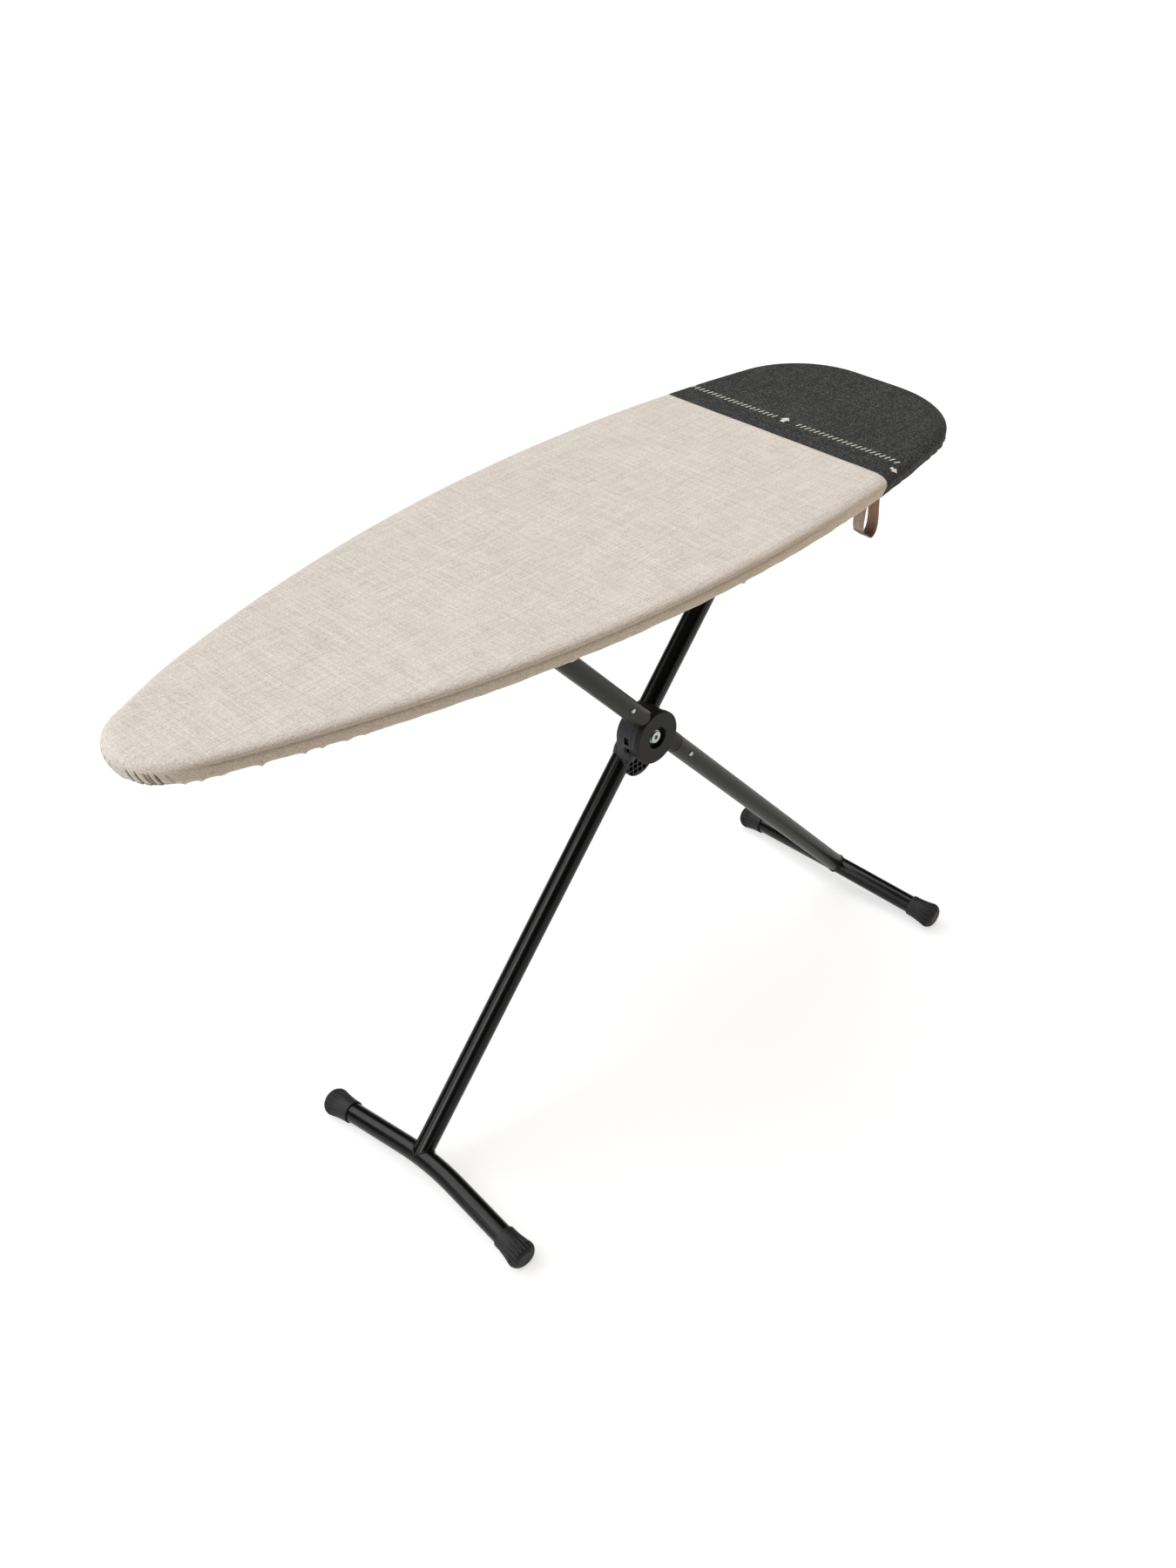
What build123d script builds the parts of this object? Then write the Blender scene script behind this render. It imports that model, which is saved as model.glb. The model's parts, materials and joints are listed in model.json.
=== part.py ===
"""Ironing board with crossed T-legs, as separate solids in millimetres.

+X points to the square end, +Y away from the viewer of the photograph, +Z up.
Stations are distances from the board's tip along +X. The origin is under the middle of the bounding box.
"""
import math
import os

from build123d import *

os.makedirs("parts", exist_ok=True)

# Board outline
BOARD_LENGTH = 1350.0
BOARD_WIDTH = 450.0
BOARD_HEIGHT = 980.0
WIDEST_STATION = 817.0
FRONT_FLANK_RADIUS = 2032.0
REAR_FLANK_RADIUS = 2108.0
REAR_CORNER_RADIUS = 136.0
SEAM_STATION = 1083.0
ORIGIN_STATION = 680.0

# Layers of the board, from the top down
COVER_THICKNESS = 1.0
COVER_DEPTH = 24.0
COVER_EDGE_RADIUS = 8.0
HEM_WIDTH = 24.0
PAD_THICKNESS = 5.0
PLATE_THICKNESS = 1.2
PLATE_INSET = 6.0
RIM_THICKNESS = 1.5
RIM_DEPTH = 14.8

# Legs and their pivots
LEG_ANGLE = 48.4
LEG_TUBE_DIAMETER = 32.0
LEG_TUBE_WALL = 1.5
HUB_STATION = 814.8
HUB_HEIGHT = 593.6
TOP_PIVOT_HEIGHT = 938.0
FRONT_LEG_Y = 22.5
REAR_LEG_Y = -10.5
TUBE_OFFSET = 11.0
FRONT_LEG_LOWER = 751.1
REAR_LEG_LOWER = 770.7
SLEEVE_DIAMETER = 21.0
PIVOT_DIAMETER = 10.0

# Feet
FOOT_HALF_WIDTH = 175.0
FOOT_RISE = 16.0
FOOT_BEND = 6.3
FOOT_BEND_RADIUS = 550.0
CAP_LENGTH = 52.0
CAP_SOCKET = 28.0
CAP_COLLAR_RADIUS = 18.5
CAP_RADIUS = 22.3
CAP_FLUTES = 20

# Centre hinge
DISC_RADIUS = 42.5
DISC_THICKNESS = 8.0
CORE_RADIUS = 41.0
RECESS_RADIUS = 17.5
WASHER_THICKNESS = 0.8
COLLAR_LENGTH = 64.0
COPE_RADIUS = 44.0
SPIGOT_LENGTH = 116.0
UPPER_SCREW = 89.0
LOWER_SCREW = 100.0
GUSSET_DROP = 47.0
GUSSET_RADIUS = 33.0
GRIP_WALL = 3.0
GRIP_UP = 37.0
GRIP_DOWN = 50.0
GRIP_TAPER = 9.0

# Slide rails and height lock
RAIL_Y = 56.0
RAIL_START = 150.0
RAIL_END = 545.0
HEIGHT_STEPS = (980.0, 930.0, 880.0, 830.0, 780.0, 730.0)
FOLDED_ANGLE = 3.0
COMB_Y = -43.0
COMB_THICKNESS = 2.5
COMB_PIN_STATION = 168.0
COMB_PIN_HEIGHT = 926.0
STRAP_STATION = 1084.0
STRAP_HEIGHT = 947.0
STRAP_WIDTH = 24.0
STRAP_THICKNESS = 2.2
STRAP_NEAR_Y = -192.0
STRAP_LOOP_RADIUS = 17.0
STRAP_BOTTOM = 880.0
SPOOL_RADIUS = 4.6
SPOOL_HALF = 5.5

COS = math.cos(math.radians(LEG_ANGLE))
SIN = math.sin(math.radians(LEG_ANGLE))
TUBE_RADIUS = LEG_TUBE_DIAMETER / 2
BORE_RADIUS = TUBE_RADIUS - LEG_TUBE_WALL
DISC_FACE_Y = REAR_LEG_Y - TUBE_RADIUS
CORE_FACE_Y = DISC_FACE_Y + DISC_THICKNESS
HUB_SPLIT_Y = REAR_LEG_Y
SADDLE_FACE_Y = HUB_SPLIT_Y + WASHER_THICKNESS
GUSSET_FACE_Y = REAR_LEG_Y + TUBE_RADIUS + 1.0
LEG_UPPER = (TOP_PIVOT_HEIGHT - HUB_HEIGHT) / SIN
FRONT_PIVOT_STATION = HUB_STATION + LEG_UPPER * COS
AXLE_STATION = HUB_STATION - LEG_UPPER * COS
COVER_BOTTOM = BOARD_HEIGHT - COVER_DEPTH
PAD_TOP = BOARD_HEIGHT - COVER_THICKNESS
PLATE_TOP = PAD_TOP - PAD_THICKNESS
PLATE_BOTTOM = PLATE_TOP - PLATE_THICKNESS


def station(distance):
    """X of a station."""
    return distance - ORIGIN_STATION


def axle_station(angle):
    """Station of the slide axle when the legs stand at an angle to the board."""
    return FRONT_PIVOT_STATION - 2 * LEG_UPPER * math.cos(math.radians(angle))


def half_width(distance):
    """Half width of the board at a station in front of the rear corners."""
    radius = FRONT_FLANK_RADIUS if distance < WIDEST_STATION else REAR_FLANK_RADIUS
    return math.sqrt(radius ** 2 - (distance - WIDEST_STATION) ** 2) + BOARD_WIDTH / 2 - radius


def on_circle(centre, radius, angle):
    """Point on a circle."""
    return (centre[0] + radius * math.cos(angle), centre[1] + radius * math.sin(angle))


def outline(inset, height):
    """Face of the board's outline at a height, drawn in by an inset. Every arc keeps its centre."""
    half = BOARD_WIDTH / 2
    front_drop = half - FRONT_FLANK_RADIUS
    nose = (FRONT_FLANK_RADIUS ** 2 - WIDEST_STATION ** 2 - front_drop ** 2) / (
        2 * (FRONT_FLANK_RADIUS - WIDEST_STATION))
    corner_x = BOARD_LENGTH - REAR_CORNER_RADIUS
    reach = REAR_FLANK_RADIUS - REAR_CORNER_RADIUS
    rear_drop = half - REAR_FLANK_RADIUS
    corner_y = rear_drop + math.sqrt(reach ** 2 - (corner_x - WIDEST_STATION) ** 2)
    front_centre = (WIDEST_STATION, front_drop)
    rear_centre = (WIDEST_STATION, rear_drop)
    corner_centre = (corner_x, corner_y)
    nose_angle = math.atan2(-front_drop, nose - WIDEST_STATION)
    corner_angle = math.atan2(corner_y - rear_drop, corner_x - WIDEST_STATION)
    arcs = (
        (front_centre, FRONT_FLANK_RADIUS - inset, nose_angle, math.pi / 2),
        (rear_centre, REAR_FLANK_RADIUS - inset, math.pi / 2, corner_angle),
        (corner_centre, REAR_CORNER_RADIUS - inset, corner_angle, 0.0),
    )
    edges = []
    for side in (1, -1):
        for centre, radius, start, end in arcs:
            points = [on_circle(centre, radius, angle) for angle in (start, (start + end) / 2, end)]
            edges.append(ThreePointArc(*[(station(x), side * y) for x, y in points]))
    tangent = on_circle((nose, 0.0), nose - inset, nose_angle)
    edges.append(ThreePointArc(
        (station(tangent[0]), tangent[1]), (station(inset), 0), (station(tangent[0]), -tangent[1])))
    end = station(BOARD_LENGTH - inset)
    edges.append(Line((end, corner_y), (end, -corner_y)))
    return Pos(0, 0, height) * make_face(edges)


def slab(inset, bottom, top):
    """Solid of the outline between two heights."""
    return extrude(outline(inset, bottom), top - bottom)


def edges_at(solid, height):
    """Edges that lie in one level."""
    return solid.edges().filter_by_position(Axis.Z, height - 0.01, height + 0.01)


def rod_y(x, z, y0, y1, radius):
    """Cylinder along Y."""
    return Pos(x, (y0 + y1) / 2, z) * Rot(90, 0, 0) * Cylinder(radius, abs(y1 - y0))


def block(x0, x1, y0, y1, z0, z1):
    """Box between limits."""
    return Pos((x0 + x1) / 2, (y0 + y1) / 2, (z0 + z1) / 2) * Box(x1 - x0, y1 - y0, z1 - z0)


def profile_y(face, y0, y1):
    """Face drawn in X and Z, pushed out along Y between two limits."""
    plane = Plane(origin=(0, y1, 0), x_dir=(1, 0, 0), z_dir=(0, -1, 0))
    return extrude(plane * face, y1 - y0)


def circle_hull(a, ra, b, rb):
    """Face round two circles with straight sides between them."""
    dx = b[0] - a[0]
    dy = b[1] - a[1]
    gap = math.hypot(dx, dy)
    along = math.atan2(dy, dx)
    lean = math.acos((ra - rb) / gap)
    a_left = on_circle(a, ra, along + lean)
    a_right = on_circle(a, ra, along - lean)
    b_left = on_circle(b, rb, along + lean)
    b_right = on_circle(b, rb, along - lean)
    edges = [
        ThreePointArc(a_left, on_circle(a, ra, along + math.pi), a_right),
        Line(a_right, b_right),
        ThreePointArc(b_right, on_circle(b, rb, along), b_left),
        Line(b_left, a_left),
    ]
    return make_face(edges)


def along(start, end, radius):
    """Cylinder along local Z between two positions."""
    return Pos(0, 0, (start + end) / 2) * Cylinder(radius, abs(end - start))


HUB_X = station(HUB_STATION)
FRONT_PLANE = Plane(
    origin=(HUB_X + TUBE_OFFSET * SIN, FRONT_LEG_Y, HUB_HEIGHT - TUBE_OFFSET * COS),
    x_dir=(0, 1, 0),
    z_dir=(COS, 0, SIN),
)
REAR_PLANE = Plane(
    origin=(HUB_X + TUBE_OFFSET * SIN, REAR_LEG_Y, HUB_HEIGHT + TUBE_OFFSET * COS),
    x_dir=(0, 1, 0),
    z_dir=(-COS, 0, SIN),
)
ABOVE_FLOOR = block(-1000, 1000, -500, 500, 0, 400)


def foot_bar(radius, level, middle):
    """Arched bar in a leg's own frame: level is the bar's axis at its caps, middle its centre across."""
    bend = math.radians(FOOT_BEND)
    run = FOOT_BEND_RADIUS * math.sin(bend)
    sag = FOOT_BEND_RADIUS * (1 - math.cos(bend))
    top = level + FOOT_RISE
    shoulder = top - sag
    reach = FOOT_HALF_WIDTH + (CAP_SOCKET - 0.5) * math.cos(bend)
    tip = shoulder - (reach - run) * math.tan(bend)
    path = Wire([
        Line((middle - reach, 0, tip), (middle - run, 0, shoulder)),
        ThreePointArc((middle - run, 0, shoulder), (middle, 0, top), (middle + run, 0, shoulder)),
        Line((middle + run, 0, shoulder), (middle + reach, 0, tip)),
    ])
    start = Plane(origin=(middle - reach, 0, tip), z_dir=(math.cos(bend), 0, math.sin(bend)))
    return sweep(start * Circle(radius), path=path)


def foot_cap(sole):
    """Fluted cap along local Z, its open end at zero. The flutes leave a smooth sole round one angle."""
    profile = [
        Line((0, 0), (CAP_COLLAR_RADIUS - 0.6, 0)),
        Line((CAP_COLLAR_RADIUS - 0.6, 0), (CAP_COLLAR_RADIUS, 0.6)),
        Line((CAP_COLLAR_RADIUS, 0.6), (CAP_COLLAR_RADIUS + 0.2, 11)),
        ThreePointArc((CAP_COLLAR_RADIUS + 0.2, 11), (19.8, 22), (CAP_RADIUS, 37)),
        ThreePointArc((CAP_RADIUS, 37), (20.6, 46.5), (13.0, CAP_LENGTH)),
        Line((13.0, CAP_LENGTH), (0, CAP_LENGTH)),
        Line((0, CAP_LENGTH), (0, 0)),
    ]
    body = revolve(Plane.XZ * make_face(profile), Axis.Z)
    body -= along(-1, CAP_SOCKET, TUBE_RADIUS + 0.05)
    flute = Pos(21.7, 0, 15) * Cylinder(2.4, 60, align=(Align.CENTER, Align.CENTER, Align.MIN))
    turns = [sole + 360.0 * k / CAP_FLUTES for k in range(2, CAP_FLUTES - 1)]
    return body - [Rot(0, 0, turn) * flute for turn in turns]


def placed_cap(plane, level, leg_y, side):
    """Cap on one end of a foot bar, with its sole cut level with the floor."""
    bend = math.radians(FOOT_BEND)
    seat = Plane(
        origin=(side * FOOT_HALF_WIDTH - leg_y, 0, level),
        x_dir=(0, 1, 0),
        z_dir=(side * math.cos(bend), 0, -math.sin(bend)),
    )
    place = plane.location * seat.location
    axes = Plane(place)
    sole = math.degrees(math.atan2(-axes.y_dir.Z, -axes.x_dir.Z))
    return (place * foot_cap(sole)) & ABOVE_FLOOR


parts = {}

# Cover, in two panels that meet at the seam
shell = slab(0, COVER_BOTTOM, BOARD_HEIGHT)
shell = fillet(edges_at(shell, BOARD_HEIGHT), COVER_EDGE_RADIUS)
shell = fillet(edges_at(shell, COVER_BOTTOM), 2.5)
hollow = slab(COVER_THICKNESS, COVER_BOTTOM + COVER_THICKNESS, PAD_TOP)
hollow = fillet(edges_at(hollow, PAD_TOP), COVER_EDGE_RADIUS - COVER_THICKNESS)
hollow = fillet(edges_at(hollow, COVER_BOTTOM + COVER_THICKNESS), 1.5)
shell = shell - hollow - slab(HEM_WIDTH, COVER_BOTTOM - 5, COVER_BOTTOM + 5)
seam = station(SEAM_STATION)
parts["cover_main"] = shell & block(-900, seam, -300, 300, 900, 1000)
parts["heat_panel"] = shell & block(seam, 900, -300, 300, 900, 1000)
band = slab(HEM_WIDTH + 0.3, COVER_BOTTOM, COVER_BOTTOM + 4.4)
band -= slab(HEM_WIDTH + 4.7, COVER_BOTTOM - 1, COVER_BOTTOM + 6)
parts["hem_elastic"] = fillet(band.edges().filter_by(lambda edge: abs(edge.tangent_at(0.5).Z) < 0.1), 1.9)

# Pad, steel top and rim
pad = slab(PAD_THICKNESS, PLATE_TOP, PAD_TOP)
parts["foam_pad"] = fillet(edges_at(pad, PAD_TOP), 3.9)
ROW_PITCH = 28.0
HOLE_PITCH = 60.0
diamonds = []
for row in range(-7, 8):
    shift = HOLE_PITCH / 2 if row % 2 else 0.0
    for column in range(23):
        distance = 45.0 + shift + HOLE_PITCH * column
        y = row * ROW_PITCH
        nose_limit = 96.0 * math.sqrt(max(0.0, (distance - 26.0) / 96.0))
        room = min(half_width(distance), nose_limit + 20.0) - 32.0
        if distance > BOARD_LENGTH - 45.0 or abs(y) > room:
            continue
        if distance > BOARD_LENGTH - 170.0 and abs(y) > 215.0 - 0.72 * (distance - BOARD_LENGTH + 170.0):
            continue
        x = station(distance)
        diamonds.append(make_face(Polyline((x - 23, y), (x, y - 9), (x + 23, y), (x, y + 9), close=True)))
sheet = outline(PLATE_INSET, 0) - diamonds
parts["top_plate"] = Pos(0, 0, PLATE_BOTTOM) * extrude(sheet, PLATE_THICKNESS)
rim = slab(PLATE_INSET, PLATE_BOTTOM - RIM_DEPTH, PLATE_BOTTOM)
rim -= slab(PLATE_INSET + RIM_THICKNESS, PLATE_BOTTOM - RIM_DEPTH + 1.2, PLATE_BOTTOM + 1)
rim -= slab(PLATE_INSET + 6.0, PLATE_BOTTOM - RIM_DEPTH - 1, PLATE_BOTTOM)
parts["rim_band"] = rim

# Cross braces, channels open towards the top
for name, distance in (("front_brace", 130.0), ("middle_brace", 640.0), ("rear_brace", 1228.0)):
    reach = min(half_width(distance - 15.0), half_width(distance + 15.0)) - 14.0
    reach = min(reach, 190.0)
    x = station(distance)
    channel = block(x - 15, x + 15, -reach, reach, PLATE_BOTTOM - 10, PLATE_BOTTOM)
    channel = fillet(channel.edges().filter_by(Axis.Y).group_by(Axis.Z)[0], 3.0)
    parts[name] = channel - block(x - 13.5, x + 13.5, -reach - 1, reach + 1, PLATE_BOTTOM - 8.5, PLATE_BOTTOM + 1)

# Slide rails: a slotted web with a flange under the steel top
axle_x = station(AXLE_STATION)
folded_x = station(axle_station(FOLDED_ANGLE))
pin_x = station(COMB_PIN_STATION)
for name, side in (("slide_rail_near", -1), ("slide_rail_far", 1)):
    x0 = station(RAIL_START)
    x1 = station(RAIL_END)
    web_outer = side * (RAIL_Y + 2)
    web = block(x0, x1, min(side * RAIL_Y, web_outer), max(side * RAIL_Y, web_outer), 918, PLATE_BOTTOM)
    web = fillet(web.edges().filter_by(Axis.Y), 9.0)
    flange_inner = side * (RAIL_Y - 15)
    flange = block(x0 + 9, x1 - 9, min(side * RAIL_Y, flange_inner), max(side * RAIL_Y, flange_inner),
                   PLATE_BOTTOM - 2, PLATE_BOTTOM)
    slot = circle_hull((folded_x, TOP_PIVOT_HEIGHT), 6.9, (axle_x, TOP_PIVOT_HEIGHT), 6.9 - 1e-6)
    rail = web + flange - profile_y(slot, -200, 200)
    if side < 0:
        rail -= rod_y(pin_x, COMB_PIN_HEIGHT, -100, -30, 4.05)
    parts[name] = rail

# Front pivot: two brackets, a rod and its clips
pivot_x = station(FRONT_PIVOT_STATION)
for name, side in (("pivot_bracket_near", -1), ("pivot_bracket_far", 1)):
    ear = circle_hull((pivot_x, TOP_PIVOT_HEIGHT), 15.0, (pivot_x, 968.0), 24.0)
    y0 = min(side * 60.0, side * 62.5)
    bracket = profile_y(ear, y0, y0 + 2.5) & block(pivot_x - 40, pivot_x + 40, -80, 80, 900, PLATE_BOTTOM)
    flange_outer = side * 84.0
    foot = block(pivot_x - 20, pivot_x + 20, min(side * 61.0, flange_outer), max(side * 61.0, flange_outer),
                 PLATE_BOTTOM - 2.5, PLATE_BOTTOM)
    parts[name] = bracket + foot - rod_y(pivot_x, TOP_PIVOT_HEIGHT, -90, 90, PIVOT_DIAMETER / 2 + 0.05)
parts["pivot_rod"] = rod_y(pivot_x, TOP_PIVOT_HEIGHT, -68, 68, PIVOT_DIAMETER / 2)


def clip(x, z, inner_y, side):
    """Push-on clip on the end of a ten-millimetre rod, domed outwards."""
    outer = inner_y + side * 6.5
    dome = rod_y(x, z, inner_y, outer, 8.5)
    rim_edges = dome.edges().filter_by(GeomType.CIRCLE).sort_by(Axis.Y)
    dome = fillet(rim_edges[-1] if side > 0 else rim_edges[0], 3.0)
    return dome - rod_y(x, z, inner_y - side, inner_y + side * 5.2, PIVOT_DIAMETER / 2 + 0.05)


parts["pivot_rod_clips"] = Compound([clip(pivot_x, TOP_PIVOT_HEIGHT, side * 62.9, side) for side in (-1, 1)])

# Front leg
front_bar = foot_bar(TUBE_RADIUS, -FRONT_LEG_LOWER, -FRONT_LEG_Y)
front_bore = foot_bar(BORE_RADIUS, -FRONT_LEG_LOWER, -FRONT_LEG_Y)
parts["front_foot_bar"] = FRONT_PLANE * (front_bar - front_bore)
tube = along(-FRONT_LEG_LOWER + FOOT_RISE, LEG_UPPER + 9, TUBE_RADIUS)
tube -= along(-FRONT_LEG_LOWER - 50, LEG_UPPER + 50, BORE_RADIUS)
tube -= front_bar
tube = FRONT_PLANE * tube
tube -= rod_y(pivot_x, TOP_PIVOT_HEIGHT, -60, 60, SLEEVE_DIAMETER / 2)
parts["front_leg_tube"] = tube
sleeve = rod_y(pivot_x, TOP_PIVOT_HEIGHT, -59.4, 59.4, SLEEVE_DIAMETER / 2)
parts["front_leg_sleeve"] = sleeve - rod_y(pivot_x, TOP_PIVOT_HEIGHT, -70, 70, PIVOT_DIAMETER / 2 + 0.08)
parts["front_cap_near"] = placed_cap(FRONT_PLANE, -FRONT_LEG_LOWER, FRONT_LEG_Y, -1)
parts["front_cap_far"] = placed_cap(FRONT_PLANE, -FRONT_LEG_LOWER, FRONT_LEG_Y, 1)

# Hinge saddle on the front leg: a round boss, a lattice gusset below it and a grip round the tube
hub = (HUB_X, HUB_HEIGHT)
gusset_spot = (HUB_X - 0.09 * GUSSET_DROP, HUB_HEIGHT - GUSSET_DROP)
NUT_SEAT_Y = SADDLE_FACE_Y + 10.0
boss = rod_y(HUB_X, HUB_HEIGHT, SADDLE_FACE_Y, GUSSET_FACE_Y + 1, CORE_RADIUS)
gusset = profile_y(circle_hull(hub, CORE_RADIUS - 2, gusset_spot, GUSSET_RADIUS), GUSSET_FACE_Y, FRONT_LEG_Y - 2)
grip = along(GRIP_TAPER - GRIP_DOWN, GRIP_UP - GRIP_TAPER, TUBE_RADIUS + GRIP_WALL)
lip = TUBE_RADIUS + 0.8
grip += Pos(0, 0, GRIP_UP - GRIP_TAPER / 2) * Cone(TUBE_RADIUS + GRIP_WALL, lip, GRIP_TAPER)
grip += Pos(0, 0, GRIP_TAPER / 2 - GRIP_DOWN) * Cone(lip, TUBE_RADIUS + GRIP_WALL, GRIP_TAPER)
grip = FRONT_PLANE * grip
saddle = boss + gusset + grip
saddle -= FRONT_PLANE * along(-100, 100, TUBE_RADIUS + 0.05)
saddle -= rod_y(HUB_X, HUB_HEIGHT, -60, 60, PIVOT_DIAMETER / 2 + 0.05)
nut_face = Plane(origin=(HUB_X, NUT_SEAT_Y, HUB_HEIGHT), x_dir=(1, 0, 0), z_dir=(0, 1, 0))
saddle -= extrude(nut_face * RegularPolygon(9.4, 6), 30)
inside = circle_hull(hub, CORE_RADIUS - 4, gusset_spot, GUSSET_RADIUS - 2) - Pos(*hub) * Circle(CORE_RADIUS - 3)
lattice = profile_y(inside, GUSSET_FACE_Y, GUSSET_FACE_Y + 9.0)
lattice -= FRONT_PLANE * along(-GRIP_DOWN - 1, GRIP_UP, TUBE_RADIUS + GRIP_WALL)
face = Plane(origin=(HUB_X, GUSSET_FACE_Y, HUB_HEIGHT), x_dir=(1, 0, 0), z_dir=(0, -1, 0))
for row in range(4):
    for column in range(-4, 5):
        cell = Pos(column * 9.6 - 4.0, -42.0 - 9.4 * row) * Rectangle(7.8, 7.6)
        pocket = extrude(face * cell, amount=-9.0) & lattice
        if pocket.solids() and pocket.volume > 60:
            saddle -= pocket
for turn in (177.0, 203.0):
    lean = math.radians(turn)
    spot = Plane(origin=(HUB_X, 0, HUB_HEIGHT), x_dir=(0, 1, 0), z_dir=(math.cos(lean), 0, math.sin(lean)))
    saddle -= spot * Pos(-1.5, 0, 41) * Box(9, 12, 10)
parts["hinge_saddle"] = saddle
bolt = rod_y(HUB_X, HUB_HEIGHT, CORE_FACE_Y - 5.0, CORE_FACE_Y - 1.6, 9.0)
bolt += rod_y(HUB_X, HUB_HEIGHT, CORE_FACE_Y - 1.8, CORE_FACE_Y - 0.2, 10.5)
bolt += rod_y(HUB_X, HUB_HEIGHT, CORE_FACE_Y - 0.4, NUT_SEAT_Y + 7.0, PIVOT_DIAMETER / 2)
drive = Plane(origin=(HUB_X, CORE_FACE_Y - 5.0, HUB_HEIGHT), x_dir=(1, 0, 0), z_dir=(0, -1, 0))
parts["pivot_bolt"] = bolt - extrude(drive * RegularPolygon(4.2, 6), amount=-2.6)
nut = extrude(nut_face * Pos(0, 0, 0.1) * RegularPolygon(9.2, 6), 6.0)
parts["pivot_nut"] = nut - rod_y(HUB_X, HUB_HEIGHT, -60, 60, PIVOT_DIAMETER / 2 + 0.05)

# Rear leg
rear_bar = foot_bar(TUBE_RADIUS, -REAR_LEG_LOWER, -REAR_LEG_Y)
rear_bore = foot_bar(BORE_RADIUS, -REAR_LEG_LOWER, -REAR_LEG_Y)
parts["rear_foot_bar"] = REAR_PLANE * (rear_bar - rear_bore)
screw_spots = []
for distance in (UPPER_SCREW, -LOWER_SCREW):
    spot = REAR_PLANE * Pos(0, 0, distance)
    screw_spots.append((spot.position.X, spot.position.Z))
lower = along(-REAR_LEG_LOWER + FOOT_RISE, -COLLAR_LENGTH - 0.3, TUBE_RADIUS)
lower -= along(-REAR_LEG_LOWER - 50, 0, BORE_RADIUS)
joint_groove = along(-COLLAR_LENGTH - 0.9, -COLLAR_LENGTH + 0.6, TUBE_RADIUS + 1)
joint_groove -= along(-COLLAR_LENGTH - 1, -COLLAR_LENGTH + 1, TUBE_RADIUS - 0.6)
lower -= joint_groove
lower = REAR_PLANE * (lower - rear_bar)
upper = along(20, LEG_UPPER + 9, TUBE_RADIUS) - along(0, LEG_UPPER + 50, BORE_RADIUS)
upper = REAR_PLANE * upper - rod_y(axle_x, TOP_PIVOT_HEIGHT, -60, 60, SLEEVE_DIAMETER / 2)
upper -= rod_y(HUB_X, HUB_HEIGHT, -60, 60, COPE_RADIUS)
SCREW_SEAT_Y = DISC_FACE_Y + 0.4
drill = [rod_y(x, z, -60, REAR_LEG_Y + 4, 2.1) for x, z in screw_spots]
face_cut = [rod_y(x, z, -60, SCREW_SEAT_Y, 4.0) for x, z in screw_spots]
parts["rear_leg_tube_upper"] = upper - drill[0] - face_cut[0]
parts["rear_leg_tube_lower"] = lower - drill[1] - face_cut[1]
screws = []
for x, z in screw_spots:
    head = rod_y(x, z, SCREW_SEAT_Y - 2.0, SCREW_SEAT_Y, 3.7)
    head = fillet(head.edges().filter_by(GeomType.CIRCLE).sort_by(Axis.Y)[0], 1.2)
    screws.append(head + rod_y(x, z, SCREW_SEAT_Y - 0.2, REAR_LEG_Y + 2, 2.0))
parts["tube_screws"] = Compound(screws)
sleeve = rod_y(axle_x, TOP_PIVOT_HEIGHT, -36, 36, SLEEVE_DIAMETER / 2)
parts["rear_leg_sleeve"] = sleeve - rod_y(axle_x, TOP_PIVOT_HEIGHT, -70, 70, PIVOT_DIAMETER / 2 + 0.05)
plug = along(LEG_UPPER + 9, LEG_UPPER + 12, TUBE_RADIUS)
plug = fillet(plug.edges().filter_by(GeomType.CIRCLE).sort_by(Axis.Z)[-1], 2.0)
plug += along(LEG_UPPER - 6, LEG_UPPER + 9.5, BORE_RADIUS - 0.05)
parts["rear_tube_plug"] = REAR_PLANE * plug - rod_y(axle_x, TOP_PIVOT_HEIGHT, -60, 60, SLEEVE_DIAMETER / 2 + 0.3)
parts["front_tube_plug"] = FRONT_PLANE * plug - rod_y(pivot_x, TOP_PIVOT_HEIGHT, -60, 60, SLEEVE_DIAMETER / 2 + 0.3)
parts["rear_cap_near"] = placed_cap(REAR_PLANE, -REAR_LEG_LOWER, REAR_LEG_Y, -1)
parts["rear_cap_far"] = placed_cap(REAR_PLANE, -REAR_LEG_LOWER, REAR_LEG_Y, 1)

# Hinge disc with its collar, and the core with the spigots that carry the two tubes
disc = rod_y(HUB_X, HUB_HEIGHT, DISC_FACE_Y, CORE_FACE_Y, DISC_RADIUS)
disc = fillet(disc.edges().filter_by(GeomType.CIRCLE).sort_by(Axis.Y)[0], 1.8)
boss_room = rod_y(HUB_X, HUB_HEIGHT, HUB_SPLIT_Y, 60, CORE_RADIUS + 2)
core_room = rod_y(HUB_X, HUB_HEIGHT, CORE_FACE_Y, HUB_SPLIT_Y + 1, CORE_RADIUS + 0.3)
collar = REAR_PLANE * (along(-COLLAR_LENGTH, -20, TUBE_RADIUS) - joint_groove)
spigot_room = REAR_PLANE * along(-130, 0, BORE_RADIUS) - rod_y(HUB_X, HUB_HEIGHT, -60, 60, CORE_RADIUS)
cover_disc = disc + (collar - boss_room - core_room)
parts["hinge_disc"] = cover_disc - spigot_room - rod_y(HUB_X, HUB_HEIGHT, -60, CORE_FACE_Y, RECESS_RADIUS)
spigots = REAR_PLANE * along(-SPIGOT_LENGTH, SPIGOT_LENGTH - 12, BORE_RADIUS - 0.1)
spigots -= rod_y(HUB_X, HUB_HEIGHT, -60, CORE_FACE_Y + 0.2, DISC_RADIUS + 0.3)
core = rod_y(HUB_X, HUB_HEIGHT, CORE_FACE_Y + 0.2, HUB_SPLIT_Y, CORE_RADIUS) + (spigots - boss_room)
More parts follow.
